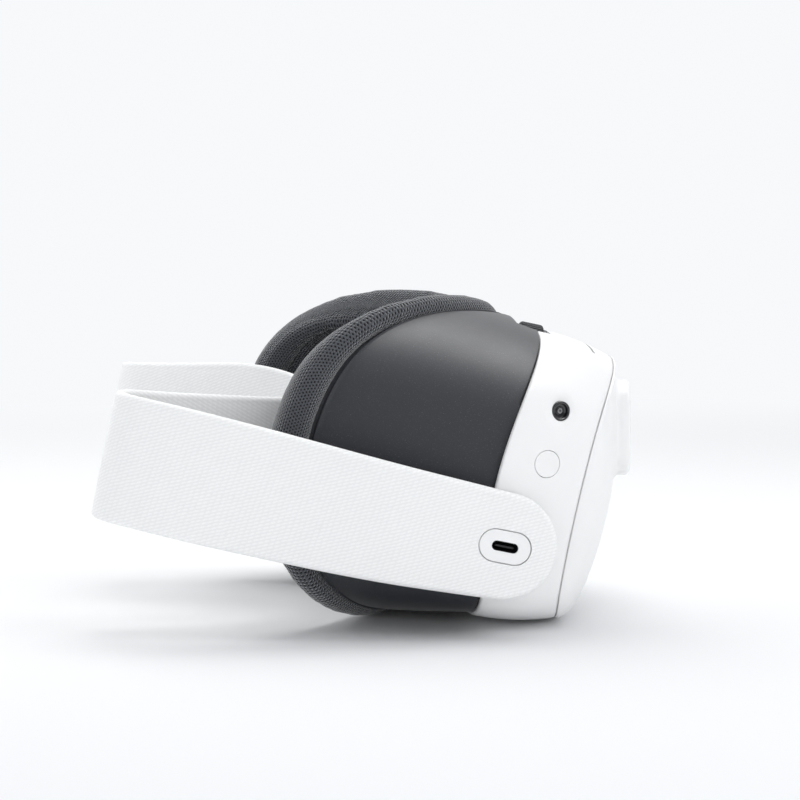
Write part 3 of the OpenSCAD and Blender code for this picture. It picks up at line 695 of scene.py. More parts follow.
def side_turn(x, z):
    return math.degrees(math.atan(2 * 7.3 * side_w(x, z) / (seam(77, z) - rim(z))))


def on_side(x, z, s):
    """frame on the housing's side wall, local x outwards"""
    return place(x, s * side_y(x, z), z, (("Z", s * (90 - side_turn(x, z))),))


def pod_frame(s):
    return place(dome(s * pod_y, pod_z) + 0.2, s * pod_y, pod_z, (("Y", -12.0), ("Z", s * 9.0)))


def side_axis(s, y=0.0):
    """frame on the arm pivot axis, local x outwards on side s"""
    return place(0, s * y, 0, (("Z", s * 90.0),))


# ------------------------------------------------------------------ visor housing
def wall_pts(t, w, e, dx=0.0):
    y, z = outline(t, ha(w) - e, hb(w) - e, hz, hn, hnb, notch, 16)
    r = rim_at(t)
    x = r + (seam(y, z) - r) * w + dx
    return np.stack([x, y, z], -1)


def build_housing():
    N = 560
    t = even_t(85, 50, hn, hnb, N)
    rings = []
    for a in np.linspace(0, 90, 7):  # rounded rear rim
        q = math.radians(a)
        rings.append(wall_pts(t, 0.0, 0.9 - 0.9 * math.sin(q), 0.9 - 0.9 * math.cos(q)))
    for w in np.linspace(0.05, 0.972, 44):
        rings.append(wall_pts(t, w, 0.0))
    for a in np.linspace(0, 90, 6):  # rounded seam edge
        q = math.radians(a)
        rings.append(wall_pts(t, 1.0, 0.42 - 0.42 * math.cos(q), -0.42 + 0.42 * math.sin(q)))
    rings.append(wall_pts(t, 1.0, 0.95))
    rings.append(wall_pts(t, 1.0, 1.05, 0.75))
    rings.append(wall_pts(t, 1.0, wall, 0.75))
    for w in (0.9, 0.7, 0.5, 0.3, 0.12, 0.0):
        rings.append(wall_pts(t, w, wall))
    rings = np.asarray(rings)
    # shallow dish round each side camera
    outer = rings[:57]
    for s in (-1, 1):
        M = np.asarray(on_side(cam_x, cam_z, s))
        rel = outer - M[:3, 3]
        n = M[:3, 0]
        d = np.linalg.norm(rel - (rel @ n)[..., None] * n, axis=-1)
        near = (rel @ n) > -6
        depth = 0.62 * (1 - ss((d - 2.8) / 3.9)) * near
        outer -= depth[..., None] * n
    rings[:57] = outer
    ob = skin("visor_housing", rings, MAT["white"])
    cuts = []
    for s in (-1, 1):
        cuts.append(cutter_cyl(on_side(cam_x, cam_z, s), cam_r + 0.05, -12, 8))
        cuts.append(cutter_cyl(side_axis(s), 8.0, 70, 100, 96))
        cuts.append(rounded_cutter((24.0, s * 40 - 13, 60), (25.2, s * 40 + 13, 80), 0.5))
    cuts.append(cutter_cyl(on_side(button_x, button_z, -1), button_r + 0.17, -8, 8))
    cuts.append(rounded_cutter((0.5, -46, 66), (10.1, -22, 78), 1.0))
    cuts.append(rounded_cutter((8.3, -8.3, -6), (13.7, 8.3, 6), 2.2, place(0, 41, 71.8, (("X", -6),))))
    boolean(ob, cuts)
    return ob


housing = piece(build_housing(), "visor", "main_housing", slot="white_shell")
for s, nm in ((-1, "left"), (1, "right")):
    seat = lathe(f"pivot_seat_{nm}", [(8.0, 81.0), (12.2, 81.0)] + arc((12.2, 81.0), 0.0, 0, 0, 1)[:0] + [(13.0, 82.0), (13.0, 85.7)]
                 + arc((12.4, 85.7), 0.6, 0, 90, 5) + [(8.4, 86.3), (8.0, 85.9)], side_axis(s), MAT["white"], 96)
    piece(seat, "visor", slot="white_shell")


# ------------------------------------------------------------------ front cover with its three sensor pods
def cover_pts(t, q, g, e):
    y0, z0 = outline(t, ha(1.0) - e, hb(1.0) - e, hz, hn, hnb, notch * 0.8, 17)
    y, z = y0 * q, hz + (z0 - hz) * q
    xe = seam(y0, z0) + 0.35
    drop = dome(y0, z0) - e - xe
    return np.stack([dome(y, z) - e - drop * g, y, z], -1)


def build_cover():
    N = 560
    t = even_t(78, 47, hn, hnb, N)
    m = 4 + 10 * np.cos(t) ** 2
    rings = []

    def at(theta, e):
        th = math.radians(theta)
        q = math.sin(th) ** (2 / m)
        return cover_pts(t, q, 1 - math.cos(th), e)

    def inner(f, e, th0):
        th = math.radians(th0)
        q = (math.sin(th) ** (2 / m)) * f
        return cover_pts(t, q, 1 - np.sqrt(np.maximum(0, 1 - q ** m)), e)

    th0 = 14.0
    for f in np.linspace(0.02, 1.0, 46):
        rings.append(inner(f, 0.0, th0))
    for th in np.linspace(th0, 90, 34)[1:-1]:
        rings.append(at(th, 0.0))
    for a in np.linspace(0, 90, 6):  # rounded seam edge
        q = math.radians(a)
        y0, z0 = outline(t, ha(1.0) - 0.42 + 0.42 * math.cos(q), hb(1.0) - 0.42 + 0.42 * math.cos(q), hz, hn, hnb, notch * 0.8, 17)
        rings.append(np.stack([seam(y0, z0) + 0.35 + 0.42 - 0.42 * math.sin(q), y0, z0], -1))
    for e, dx in ((0.8, 0.35), (0.85, 1.3), (2.3, 1.3)):
        y0, z0 = outline(t, ha(1.0) - e, hb(1.0) - e, hz, hn, hnb, notch * 0.8, 17)
        rings.append(np.stack([seam(y0, z0) + dx, y0, z0], -1))
    for th in (70, 50, 30, 14):
        rings.append(at(th, 2.3))
    for f in (0.8, 0.5, 0.02):
        rings.append(inner(f, 2.3, th0))
    ob = skin("front_cover_shell", rings, MAT["white"], wrap=False, caps=True)
    me = ob.data
    tree = BVHTree.FromPolygons([v.co for v in me.vertices], [tuple(p.vertices) for p in me.polygons])
    cuts = [loft_stadium("cut", pod_w - 3.4, pod_l - 3.4, [(0, -12), (0, 8)], pod_frame(s), None) for s in (-1, 0, 1)]
    boolean(ob, cuts)
    return ob, tree


cover, cover_tree = build_cover()
piece(cover, "visor", "front_cover", slot="white_shell")


def build_pod(s, nm):
    M = np.asarray(pod_frame(s))
    o = stadium(pod_w, pod_l, 36)
    x_dir = Vector((H2R.to_3x3() @ Vector(M[:3, 0]))).normalized()

    def surface_x(y, z):
        p = M[:3, 3] + M[:3, 1] * y + M[:3, 2] * z + M[:3, 0] * 12
        pr = Vector(R(p).tolist())
        hit = cover_tree.ray_cast(pr, -x_dir, 0.05)
        return 12 - hit[3] * 1000 if hit[0] is not None else -3.0

    rf, rt, top = 1.9, 1.9, pod_h
    rings = []
    base = np.array([surface_x(a[0], a[1]) for a in o])
    for a in np.linspace(0, 90, 9):  # foot fillet out of the cover
        q = math.radians(a)
        d, h = rf * (1 - math.sin(q)), rf * (1 - math.cos(q))
        sx = np.array([surface_x(p[0] + d * p[2], p[1] + d * p[3]) for p in o])
        x = sx + h + (0.015 if a > 0 else -0.02)
        x = np.minimum(x, top - rt)
        rings.append(np.stack([x, o[:, 0] + d * o[:, 2], o[:, 1] + d * o[:, 3]], -1))
    for a in np.linspace(0, 90, 10):  # rounded shoulder
        q = math.radians(a)
        d, x = -rt * (1 - math.cos(q)), top - rt + rt * math.sin(q)
        rings.append(np.stack([np.full(len(o), x), o[:, 0] + d * o[:, 2], o[:, 1] + d * o[:, 3]], -1))
    for d, x in ((-1.95, top), (-2.05, top - 0.06), (-2.1, top - 0.16), (-2.1, top - 2.6)):
        rings.append(np.stack([np.full(len(o), x), o[:, 0] + d * o[:, 2], o[:, 1] + d * o[:, 3]], -1))
    back = np.minimum(base - 1.4, top - 3.0)
    rings.append(np.stack([back, o[:, 0] - 2.1 * o[:, 2], o[:, 1] - 2.1 * o[:, 3]], -1))
    rings.append(np.stack([back, o[:, 0] + 0.4 * o[:, 2], o[:, 1] + 0.4 * o[:, 3]], -1))
    rings = np.asarray(rings) @ M[:3, :3].T + M[:3, 3]
    ob = skin(f"sensor_pod_{nm}", rings, MAT["white"], wrap=True)
    return piece(ob, "visor", slot="white_shell")


def window_mat(nm, s):
    """smoked window with the dark rings of what looks through it"""
    t = NT(f"window_{nm}")
    c = t.coord()
    M = np.asarray(pod_frame(s))
    col = None
    ringed = None
    for k, z in enumerate((7.5, -7.5)):
        p = R(M[:3, 3] + M[:3, 2] * z + M[:3, 0] * (pod_h - 0.4))
        d = t.vmath("DISTANCE", c, tuple(float(q) for q in p), out=1)
        ring = t.math("MULTIPLY", t.smooth(d, 0.0040, 0.0043, 1.0, 0.0), t.smooth(d, 0.0030, 0.0033))
        dot = t.smooth(d, 0.0016, 0.0019, 1.0, 0.0)
        both = t.math("MAXIMUM", ring, t.math("MULTIPLY", dot, 0.8))
        ringed = both if ringed is None else t.math("MAXIMUM", ringed, both)
    dust = t.noise(c, 1800.0, 3.0, 0.7)
    base = t.mix(ringed, (0.006, 0.006, 0.008), (0.022, 0.018, 0.030))
    t.set(color=base, rough=t.lin(dust, 0.4, 0.8, 0.05, 0.12), coat=0.8, coat_rough=0.02, ior=1.52)
    t.bump(dust, 0.01, 0.00003)
    return t.m


for s, nm in ((-1, "left"), (0, "center"), (1, "right")):
    build_pod(s, nm)
    w, l = pod_w - 4.3, pod_l - 4.3
    prof = [(-2.0, pod_h - 2.3), (0, pod_h - 2.3), (0, pod_h - 0.75)] + [(-0.35 + 0.35 * math.cos(math.radians(a)), pod_h - 0.75 + 0.30 * math.sin(math.radians(a))) for a in (20, 45, 70, 90)] \
        + [(-1.5, pod_h - 0.42), (-3.0, pod_h - 0.40), (-4.6, pod_h - 0.39)]
    win = loft_stadium(f"sensor_glass_{nm}", w, l, prof, pod_frame(s), window_mat(nm, s))
    piece(win, "visor", f"sensor_window_{nm}", slot="black_window")

# ------------------------------------------------------------------ side cameras, power button, rocker, wheel
for s, nm in ((-1, "left"), (1, "right")):
    F = on_side(cam_x, cam_z, s)
    r = cam_r
    prof = [(0, -5.0), (r, -5.0), (r, -0.72)] + arc((r - 0.28, -0.72), 0.28, 0, 90, 5) + [(r - 0.62, -0.47)] + \
        [(r - 0.78, -0.60), (r - 1.02, -1.15), (r - 1.10, -1.6), (1.55, -1.72), (1.5, -1.62), (1.30, -1.50), (1.15, -1.56), (0, -1.60)]
    body = lathe(f"side_camera_bezel_{nm}", prof, F, MAT["gloss"], 96, 24.0, close=False)
    piece(body, "visor", f"side_camera_{nm}", slot="camera_black")
    eye = lathe(f"side_camera_lens_{nm}", [(1.12, -1.62)] + [(1.12 * math.cos(math.radians(a)), -1.58 + 0.42 * math.sin(math.radians(a))) for a in (0, 15, 30, 45, 60, 75)] + [(0, -1.16), (0, -1.62)],
                F, None, 64, 30.0, close=False)
    t = NT(f"camera_lens_{nm}")
    c = t.coord()
    ctr = R(np.asarray(F @ Matrix.Translation((-1.2, 0, 0)))[:3, 3])
    d = t.vmath("DISTANCE", c, tuple(float(q) for q in ctr), out=1)
    core = t.smooth(d, 0.00030, 0.00042, 1.0, 0.0)
    ring = t.math("MULTIPLY", t.smooth(d, 0.00085, 0.00095, 1.0, 0.0), t.smooth(d, 0.00040, 0.00050))
    t.set(color=t.mix(core, t.mix(ring, (0.02, 0.02, 0.022), (0.16, 0.16, 0.165)), (0.012, 0.012, 0.014)), rough=0.12, coat=1.0, coat_rough=0.03, ior=1.6)
    eye.data.materials.append(t.m)
    piece(eye, "visor", slot="camera_black")

F = on_side(button_x, button_z, -1)
prof = [(0, -3.6), (2.0, -3.6), (2.0, -2.9), (button_r, -2.9), (button_r, -0.33)] + arc((button_r - 0.28, -0.33), 0.28, 10, 90, 5) + [(3.4, -0.075), (2.2, -0.10), (1.0, -0.115), (0, -0.12)]
piece(lathe("power_key_cap", prof, F, MAT["white"], 128, 24.0, close=False), "power_key", "power_button", slot="white_shell")

M = place(11.0, 41, 71.8, (("X", -6),))
o_prof = [(-1.0, -2.4), (0, -2.4), (0, 0.15)] + [(-0.45 + 0.45 * math.cos(math.radians(a)), 0.15 + 0.45 * math.sin(math.radians(a))) for a in (15, 30, 50, 70, 90)] + [(-1.2, 0.58), (-1.9, 0.52)]
Mr = M @ Matrix.Rotation(math.radians(-90), 4, "Y") @ Matrix.Rotation(math.radians(0), 4, "X")
# local x of the loft is the outward direction (headset z), so turn x to z
rk = loft_stadium("volume_rocker_cap", 4.9, 15.9, o_prof, M @ Matrix(((0, 0, -1, 0), (0, 1, 0, 0), (1, 0, 0, 0), (0, 0, 0, 1))), MAT["white"], lying=True)
piece(rk, "volume_key", "volume_rocker", slot="white_shell")


def build_wheel():
    teeth, n = 48, 48 * 8
    a = np.arange(n) * 2 * math.pi / n
    prof = [(3.0, 1.1), (8.6, 1.1), (9.3, 1.35), (9.55, 1.8), (9.55, 8.3), (9.3, 8.75), (8.6, 9.0), (7.9, 9.0), (7.5, 8.4), (4.2, 8.4), (3.4, 8.6), (3.4, 10.9), (4.8, 10.9), (4.8, 13.5), (1.45, 13.5), (1.45, 16.4), (0.9, 16.4), (0.9, 4.0), (3.0, 4.0)]
    rings = []
    for r, x in prof:
        rr = np.full(n, r)
        if r > 9.2:
            rr = r + 0.22 * np.clip(np.cos(a * teeth) * 1.6, -1, 1)
        elif abs(r - 4.8) < 0.01:
            rr = r + 0.0 * a
        rings.append(np.stack([np.full(n, x), rr * np.cos(a), rr * np.sin(a)], -1))
    rings = np.asarray(rings) + np.array((0, -34, 64))
    return skin("ipd_wheel_knurled", rings, MAT["dark_inner"], wrap=True, angle=28)


piece(build_wheel(), "ipd_dial", "ipd_wheel", slot="dark_inner")


# ------------------------------------------------------------------ face interface
def face_x(y, z):
    c = np.clip((z - cz) / ch, -1, 1)
    return -79.9 + (60.1 + 10.4 * c) * np.maximum(0, 1 - np.minimum(1, np.abs(y) / 77.4) ** 1.43) ** 0.79 + 17.3 * c * c


def shell_pts(t, k, e, dx=0.0):
    A = 82 + (cw - 82) * k ** 1.25 - e
    B = 50.8 + (ch - 50.8) * math.sin(math.radians(90 * k)) - e
    y, z = outline(t, A, B, 22.7 + (cz - 22.7) * k, 3.7 + (ring_n - 3.7) * k, hnb + (ring_nb - hnb) * k, 10 + 15 * k, 16 - 3 * k)
    yc, zc = outline(t, cw, ch, cz, ring_n, ring_nb, 25, 13)
    xc = face_x(yc, zc)
    x0 = rim_at(t) - 0.9
    return np.stack([x0 + (xc - x0) * k + dx, y, z], -1)


def sleeve_pts(t, x, e):
    y, z = outline(t, 80.6 - e, 46.2 - e, 22.6, 3.6, 5.4, 10, 16)
    return np.stack([rim_at(t) + x, y, z], -1)


def build_shell():
    N = 640
    t = even_t(76, 53, 4.0, 5.8, N)
    edge = shell_pts(t, 0.0, 0.0)
    ey = edge[:, 1]
    ez = edge[:, 2] - hz + np.where(np.sin(t) > 0, notch * np.exp(-((ey / 16) ** 2)), 0)
    phi = np.arctan2(ez, ey)
    room = np.where(ez > 0, se(phi, hw - wall, hh - wall, hn), se(phi, hw - wall, hh - wall, hnb)) - np.hypot(ey, ez)
    front = rim(edge[:, 2]) - rim_at(t) - 0.25 + 2.2 * ss((room - 0.3) / 0.4)
    rings = [sleeve_pts(t, 9.0, 0.0), sleeve_pts(t, 8.7, 0.0), sleeve_pts(t, 4.0, 0.0), sleeve_pts(t, front - 0.02, 0.0), shell_pts(t, 0.0, 1.0, front + 0.9)]
    for a in np.linspace(0, 90, 6):
        q = math.radians(a)
        rings.append(shell_pts(t, 0.0, 0.35 - 0.35 * math.sin(q), front + 0.9 - 0.35 * (1 - math.cos(q))))
    for k in np.linspace(0.03, 0.975, 70):
        rings.append(shell_pts(t, k, 0.0))
    # fine bead that the cushion's edge sits against
    for k, e in ((0.980, -0.10), (0.984, -0.28), (0.989, -0.38), (0.994, -0.34), (0.998, -0.16), (1.0, 0.2), (1.0, 0.8)):
        rings.append(shell_pts(t, k, e))
    rings.append(shell_pts(t, 1.0, 1.0, -0.5))
    rings.append(shell_pts(t, 1.0, 1.2, -2.4))
    rings.append(shell_pts(t, 1.0, shell_t, -2.4))
    rings.append(shell_pts(t, 1.0, shell_t, -0.2))
    for k in (0.9, 0.75, 0.6, 0.45, 0.3, 0.15, 0.05):
        rings.append(shell_pts(t, k, shell_t))
    rings.append(sleeve_pts(t, -0.5, shell_t - 0.2))
    rings.append(sleeve_pts(t, 8.7, shell_t - 0.2))
    rings.append(sleeve_pts(t, 9.0, shell_t - 0.5))
    ob = skin("face_shell_skin", rings, MAT["shell"])
    cuts = []
    for s in (-1, 1):
        cuts.append(cutter_cyl(place(-16, 0, 2, (("Z", s * 90.0),)), 4.2, 60, 90, 64))
        cuts.append(cutter_box((-3, s * 80 - 8, -14.5), (11, s * 80 + 8, 14.5)))
    cuts.append(rounded_cutter((-2.6, -46.5, 60), (19.4, -21.5, 80), 1.0))
    cuts.append(cutter_box((5.8, 31, 60), (19.8, 51, 80)))
    cuts.append(cutter_box((6.2, -25, 50), (20.2, 25, 67.2)))
    boolean(ob, cuts)
    return ob


piece(build_shell(), "face_interface", "face_shell", slot="dark_shell")
for s, nm in ((-1, "left"), (1, "right")):
    F = place(-16, 0, 2, (("Z", s * 90.0),))
    prof = [(0, 74.0), (5.4, 74.0), (5.4, 75.5), (5.2, 75.7), (4.0, 75.7), (4.0, 79.75)] + arc((3.65, 79.75), 0.35, 0, 90, 4) + [(2.6, 80.02), (0, 79.8)]
    piece(lathe(f"latch_cap_{nm}", prof, F, MAT["shell"], 64, 28, close=False), f"latch_button_{nm}", f"latch_{nm}", slot="dark_shell")


# ------------------------------------------------------------------ cushion
def pad_center(a):
    y, z = outline(a, cw, ch, cz, ring_n, ring_nb, 25, 13)
    y2, z2 = outline(a + 0.002, cw, ch, cz, ring_n, ring_nb, 25, 13)
    dy, dz = y2 - y, z2 - z
    l = np.hypot(dy, dz)
    ny, nz = dz / l, -dy / l
    return y, z, ny, nz


def pad_pts(a, b, fx=1.0, fr=1.0, soft=0.0):
    """cushion surface: a round the ring, b round the section (0 is forward, 90 outwards)"""
    y, z, ny, nz = pad_center(a)
    x0 = face_x(y, z) - pad_x - pad_gap
    cb, sb = np.cos(b), np.sin(b)
    p = 2.6
    k = 1 / (np.abs(cb) ** p + np.abs(sb) ** p) ** (1 / p)
    sx = pad_x * fx * cb * k
    sr = pad_r * fr * sb * k - pad_r + pad_out
    return np.stack([x0 + sx, y + ny * sr, z + nz * sr], -1)


def build_cushion():
    NA, NB = 300, 44
    a = even_t(cw, ch, ring_n, ring_nb, NA)
    b = np.linspace(0, 2 * math.pi, NB, endpoint=False)
    A, B = np.meshgrid(a, b, indexing="ij")
    pts = pad_pts(A, B, 0.97, 0.955)
    ob = skin("face_cushion_pad", pts, None, wrap=True, angle=180)
    m = ob.modifiers.new("r", "REMESH")
    m.mode, m.voxel_size = "VOXEL", 0.0026
    apply_mods(ob)
    rest = np.array([v.co[:] for v in ob.data.vertices])
    c = ob.modifiers.new("cloth", "CLOTH")
    st = c.settings
    st.quality = 6
    st.mass = 0.15
    st.tension_stiffness = st.compression_stiffness = 12
    st.shear_stiffness = 6
    st.bending_stiffness = 0.6
    st.use_pressure = True
    st.uniform_pressure_force = 4.0
    st.effector_weights.gravity = 0
    c.collision_settings.use_collision = False
    c.point_cache.frame_start, c.point_cache.frame_end = 1, 20
    for f in range(1, 21):
        SC.frame_set(f)
    apply_mods(ob)
    SC.frame_set(1)
    now = np.array([v.co[:] for v in ob.data.vertices])
    d = now - rest
    l = np.linalg.norm(d, axis=1)
    cap = 0.0006
    d *= (np.minimum(l, cap) / np.maximum(l, 1e-9))[:, None]
    now = rest + d
    ob.data.vertices.foreach_set("co", now.astype(np.float32).ravel())
    m = ob.modifiers.new("even", "SMOOTH")
    m.factor, m.iterations = 0.5, 8
    apply_mods(ob)
    now = np.array([v.co[:] for v in ob.data.vertices])
    # even section all round with a trace of the cloth's own unevenness; the notch keeps its simulated folds
    co = now * 1000
    H = np.stack([(co[:, 0] - SX) * CP - (co[:, 2] - LF) * SP, co[:, 1], (co[:, 0] - SX) * SP + (co[:, 2] - LF) * CP], -1)
    fa = np.linspace(0, 2 * math.pi, 1441)[:-1]
    y, zc, ny, nz = pad_center(fa)
    cen = np.stack([face_x(y, zc) - pad_x - pad_gap, y + ny * (pad_out - pad_r), zc + nz * (pad_out - pad_r)], -1)
    best = np.zeros(len(H), int)
    for i0 in range(0, len(H), 4000):
        dd = ((H[i0:i0 + 4000, None, 1:] - cen[None, :, 1:]) ** 2).sum(-1)
        best[i0:i0 + 4000] = dd.argmin(1)
    rel = H - cen[best]
    nvec = np.stack([np.zeros_like(ny), ny, nz], -1)[best]
    f_, r_ = rel[:, 0], (rel * nvec).sum(-1)
    far = np.maximum(np.hypot(f_, r_), 1e-6)
    even = 0.985 / ((np.abs(f_ / far) / pad_x) ** 2.6 + (np.abs(r_ / far) / pad_r) ** 2.6) ** (1 / 2.6)
    keep = np.where(H[:, 2] > 25, 1 - ss((np.abs(H[:, 1]) - 22) / 14), 0.0)
    step = np.clip((even - far) * 0.8, -3.0, 3.0) * (1 - keep) / far
    H = H + step[:, None] * (f_[:, None] * np.array([1.0, 0, 0]) + r_[:, None] * nvec)
    now = np.asarray(R(H))
    # rests on the table: flat just there
    low = 0.0002
    z = now[:, 2]
    now[:, 2] = np.where(z < low + 0.0012, low + 0.0012 * np.exp((z - low - 0.0012) / 0.0012), z)
    ob.data.vertices.foreach_set("co", now.astype(np.float32).ravel())
    ob.data.update()
    m = ob.modifiers.new("s", "SUBSURF")
    m.levels = m.render_levels = 1
    apply_mods(ob)
    me = ob.data
    # where each point lies on the ring and round the section, for the knit and the seam
    co = np.array([v.co[:] for v in me.vertices]) * 1000
    H = np.stack([(co[:, 0] - SX) * CP - (co[:, 2] - LF) * SP, co[:, 1], (co[:, 0] - SX) * SP + (co[:, 2] - LF) * CP], -1)
    fa = np.linspace(0, 2 * math.pi, 1441)[:-1]
    y, zc, ny, nz = pad_center(fa)
    x0 = face_x(y, zc) - pad_x - pad_gap
    cen = np.stack([x0, y + ny * (pad_out - pad_r), zc + nz * (pad_out - pad_r)], -1)
    seg = np.concatenate([[0], np.cumsum(np.linalg.norm(np.diff(np.concatenate([cen, cen[:1]]), axis=0), axis=1))])
    total = seg[-1]
    # nearest centre point
    best = np.zeros(len(H), int)
    for i0 in range(0, len(H), 4000):
        dd = ((H[i0:i0 + 4000, None, :] - cen[None]) ** 2).sum(-1)
        best[i0:i0 + 4000] = dd.argmin(1)
    rel = H - cen[best]
    tang = np.roll(cen, -1, 0) - np.roll(cen, 1, 0)
    tang /= np.linalg.norm(tang, axis=1)[:, None]
    ds = (rel * tang[best]).sum(-1)
    S = seg[best] + ds
    nvec = np.stack([np.zeros_like(ny), ny, nz], -1)[best]
    r_ = (rel * nvec).sum(-1)
    f_ = rel[:, 0]
    ang = np.arctan2(r_, f_)  # 0 forward, 90 outwards
    circ = 2 * math.pi * 7.2
    cell = 0.00118 * 1000
    nS = round(total / cell)
    U = S / total * nS * cell / 1000
    nV = round(circ / (cell * 0.82 * 1.7320508))
    V = ang / (2 * math.pi) * nV * cell * 0.82 * 1.7320508 / 1000
    perU, perV = nS * cell / 1000, nV * cell * 0.82 * 1.7320508 / 1000
    uv = me.uv_layers.new(name="knit")
    buf = np.zeros((len(me.loops), 2))
    li = np.zeros(len(me.loops), int)
    me.loops.foreach_get("vertex_index", li)
    buf[:, 0], buf[:, 1] = U[li], V[li]
    start = np.array([p.loop_start for p in me.polygons])
    tot = np.array([p.loop_total for p in me.polygons])
    fidx = np.repeat(np.arange(len(start)), tot)
    for k, per in ((0, perU), (1, perV)):
        ref = buf[start, k][fidx]
        order = np.argsort(np.repeat(start, tot) + 0)  # loops are already in face order
        buf[:, k] -= np.round((buf[:, k] - ref) / per) * per
    uv.data.foreach_set("uv", buf.astype(np.float32).ravel())
    # sewn seam: a fine groove where the cover's two panels meet, on the side towards the face opening
    nrm = np.array([v.normal[:] for v in me.vertices])
    seam_b = math.radians(-128)
    dist = np.abs((ang - seam_b + math.pi) % (2 * math.pi) - math.pi) * 7.2
    groove = 0.55 * np.exp(-((dist / 0.8) ** 2))
    co2 = np.array([v.co[:] for v in me.vertices]) - nrm * groove[:, None] / 1000
    me.vertices.foreach_set("co", co2.astype(np.float32).ravel())
    me.update()
    me.shade_smooth()
    me.materials.clear()
    me.materials.append(MAT["knit"])
    return ob


cushion = piece(build_cushion(), "face_interface", "face_cushion", slot="cushion_knit")


def build_lining():
    """the cushion's knit skirt, laid on the inside of the shell"""
    N = 260
    t = even_t(cw, ch, ring_n, ring_nb, N)
    ks = np.linspace(0.985, 0.34, 14)
    start = pad_pts(t, np.full(N, math.radians(-118)), 0.90, 0.86)
    end = shell_pts(t, ks[-1], shell_t + 0.9)
    inner = []
    for i, k in enumerate(ks):
        u = i / (len(ks) - 1)
        straight = start + (end - start) * u
        wallp = shell_pts(t, k, shell_t + 0.9)
        inner.append(straight + (wallp - straight) * 0.35 * math.sin(math.pi * u))
    rings = inner + [shell_pts(t, k, shell_t + 0.12) for k in ks[::-1]]
    rings = np.asarray(rings)
    n = len(rings)
    mid = rings[4]
    step = np.linalg.norm(np.roll(mid, -1, 0) - mid, axis=1)
    U = np.concatenate([[0], np.cumsum(step)])
    V = np.concatenate([[0], np.cumsum([np.linalg.norm(rings[i + 1] - rings[i], axis=1).mean() for i in range(n - 1)])])
    V = np.concatenate([V, [V[-1] + 1]])
    verts = R(rings.reshape(-1, 3))
    faces, uvs = [], []
    for i in range(n):
        for j in range(N):
            i2, j2 = (i + 1) % n, (j + 1) % N
            faces.append((i * N + j, i2 * N + j, i2 * N + j2, i * N + j2))
            uvs += [(U[j], V[i]), (U[j], V[i + 1]), (U[j + 1], V[i + 1]), (U[j + 1], V[i])]
    me = bpy.data.meshes.new("face_cushion_lining")
    me.from_pydata([tuple(v) for v in verts], [], faces)
    uv = me.uv_layers.new(name="knit")
    uv.data.foreach_set("uv", (np.asarray(uvs) / 1000).astype(np.float32).ravel())
    bm = bmesh.new()
    bm.from_mesh(me)
    bmesh.ops.recalc_face_normals(bm, faces=bm.faces)
    bm.to_mesh(me)
    bm.free()
    me.shade_smooth()
    return add_object("face_cushion_lining", me, MAT["knit"])


piece(build_lining(), "face_interface", slot="cushion_knit")


# ------------------------------------------------------------------ head strap
COURSE = [(42, 0, 2), (26, 10, 4), (40, 0, 3), (26, 12, 4), (8, 0, 1), (33.7, 143, 10), (40, 0, 4), (47, -75, 8)]


def strap_course():
    x, y, h, s = 17.0, -arm_y, 0.0, 0.0
    out = [(x, y, h, s)]
    for L, turn, m in COURSE:
        l, d = L / m, math.radians(turn) / m
        for _ in range(m):
            hm = h + d / 2
            x, y, h, s = x - l * math.cos(hm), y + l * math.sin(hm), h + d, s + l
            out.append((x, y, h, s))
    half = np.array(out)
    hl = half[-1, 3]
    pull = half[-1, 1] * ss((half[:, 3] - 40) / (hl - 40))
    a = half.copy()
    a[:, 1] -= pull
    b = half[:-1][::-1].copy()
    b[:, 1] = -(b[:, 1] - pull[:-1][::-1])
    b[:, 0] += 5 * ss((hl - b[:, 3]) / 40) * (1 - ss((150 - b[:, 3]) / 90))
    b[:, 2] = math.pi - b[:, 2]
    b[:, 3] = 2 * hl - b[:, 3]
    return np.concatenate([a, b]), hl


WHOLE, HL = strap_course()


def rise(s):
    s = np.asarray(s, float)
    return np.where(s < 42, 0, np.where(s < 150, 2 * ss((s - 42) / 108), np.where(s < HL, 2 + 10.5 * ss((s - 150) / (HL - 150)),
                    np.where(s < 2 * HL - 150, 12.5 + 6.5 * ss((s - HL) / 60) - 12.3 * ss((s - HL - 30) / (HL - 180)), 6.7 * ss((2 * HL - 42 - s) / 108)))))


def band_h(s):
    e = np.minimum(s, 2 * HL - s)
    t = np.clip((e - 17) / 110, 0, 1)
    return arm_r + (strap_h / 2 - arm_r) * (1 - (1 - t) ** 1.6)


def band_t(s):
    e = np.minimum(s, 2 * HL - s)
    return (arm_t + (strap_t - arm_t) * ss((e - 85) / 40)) / 2


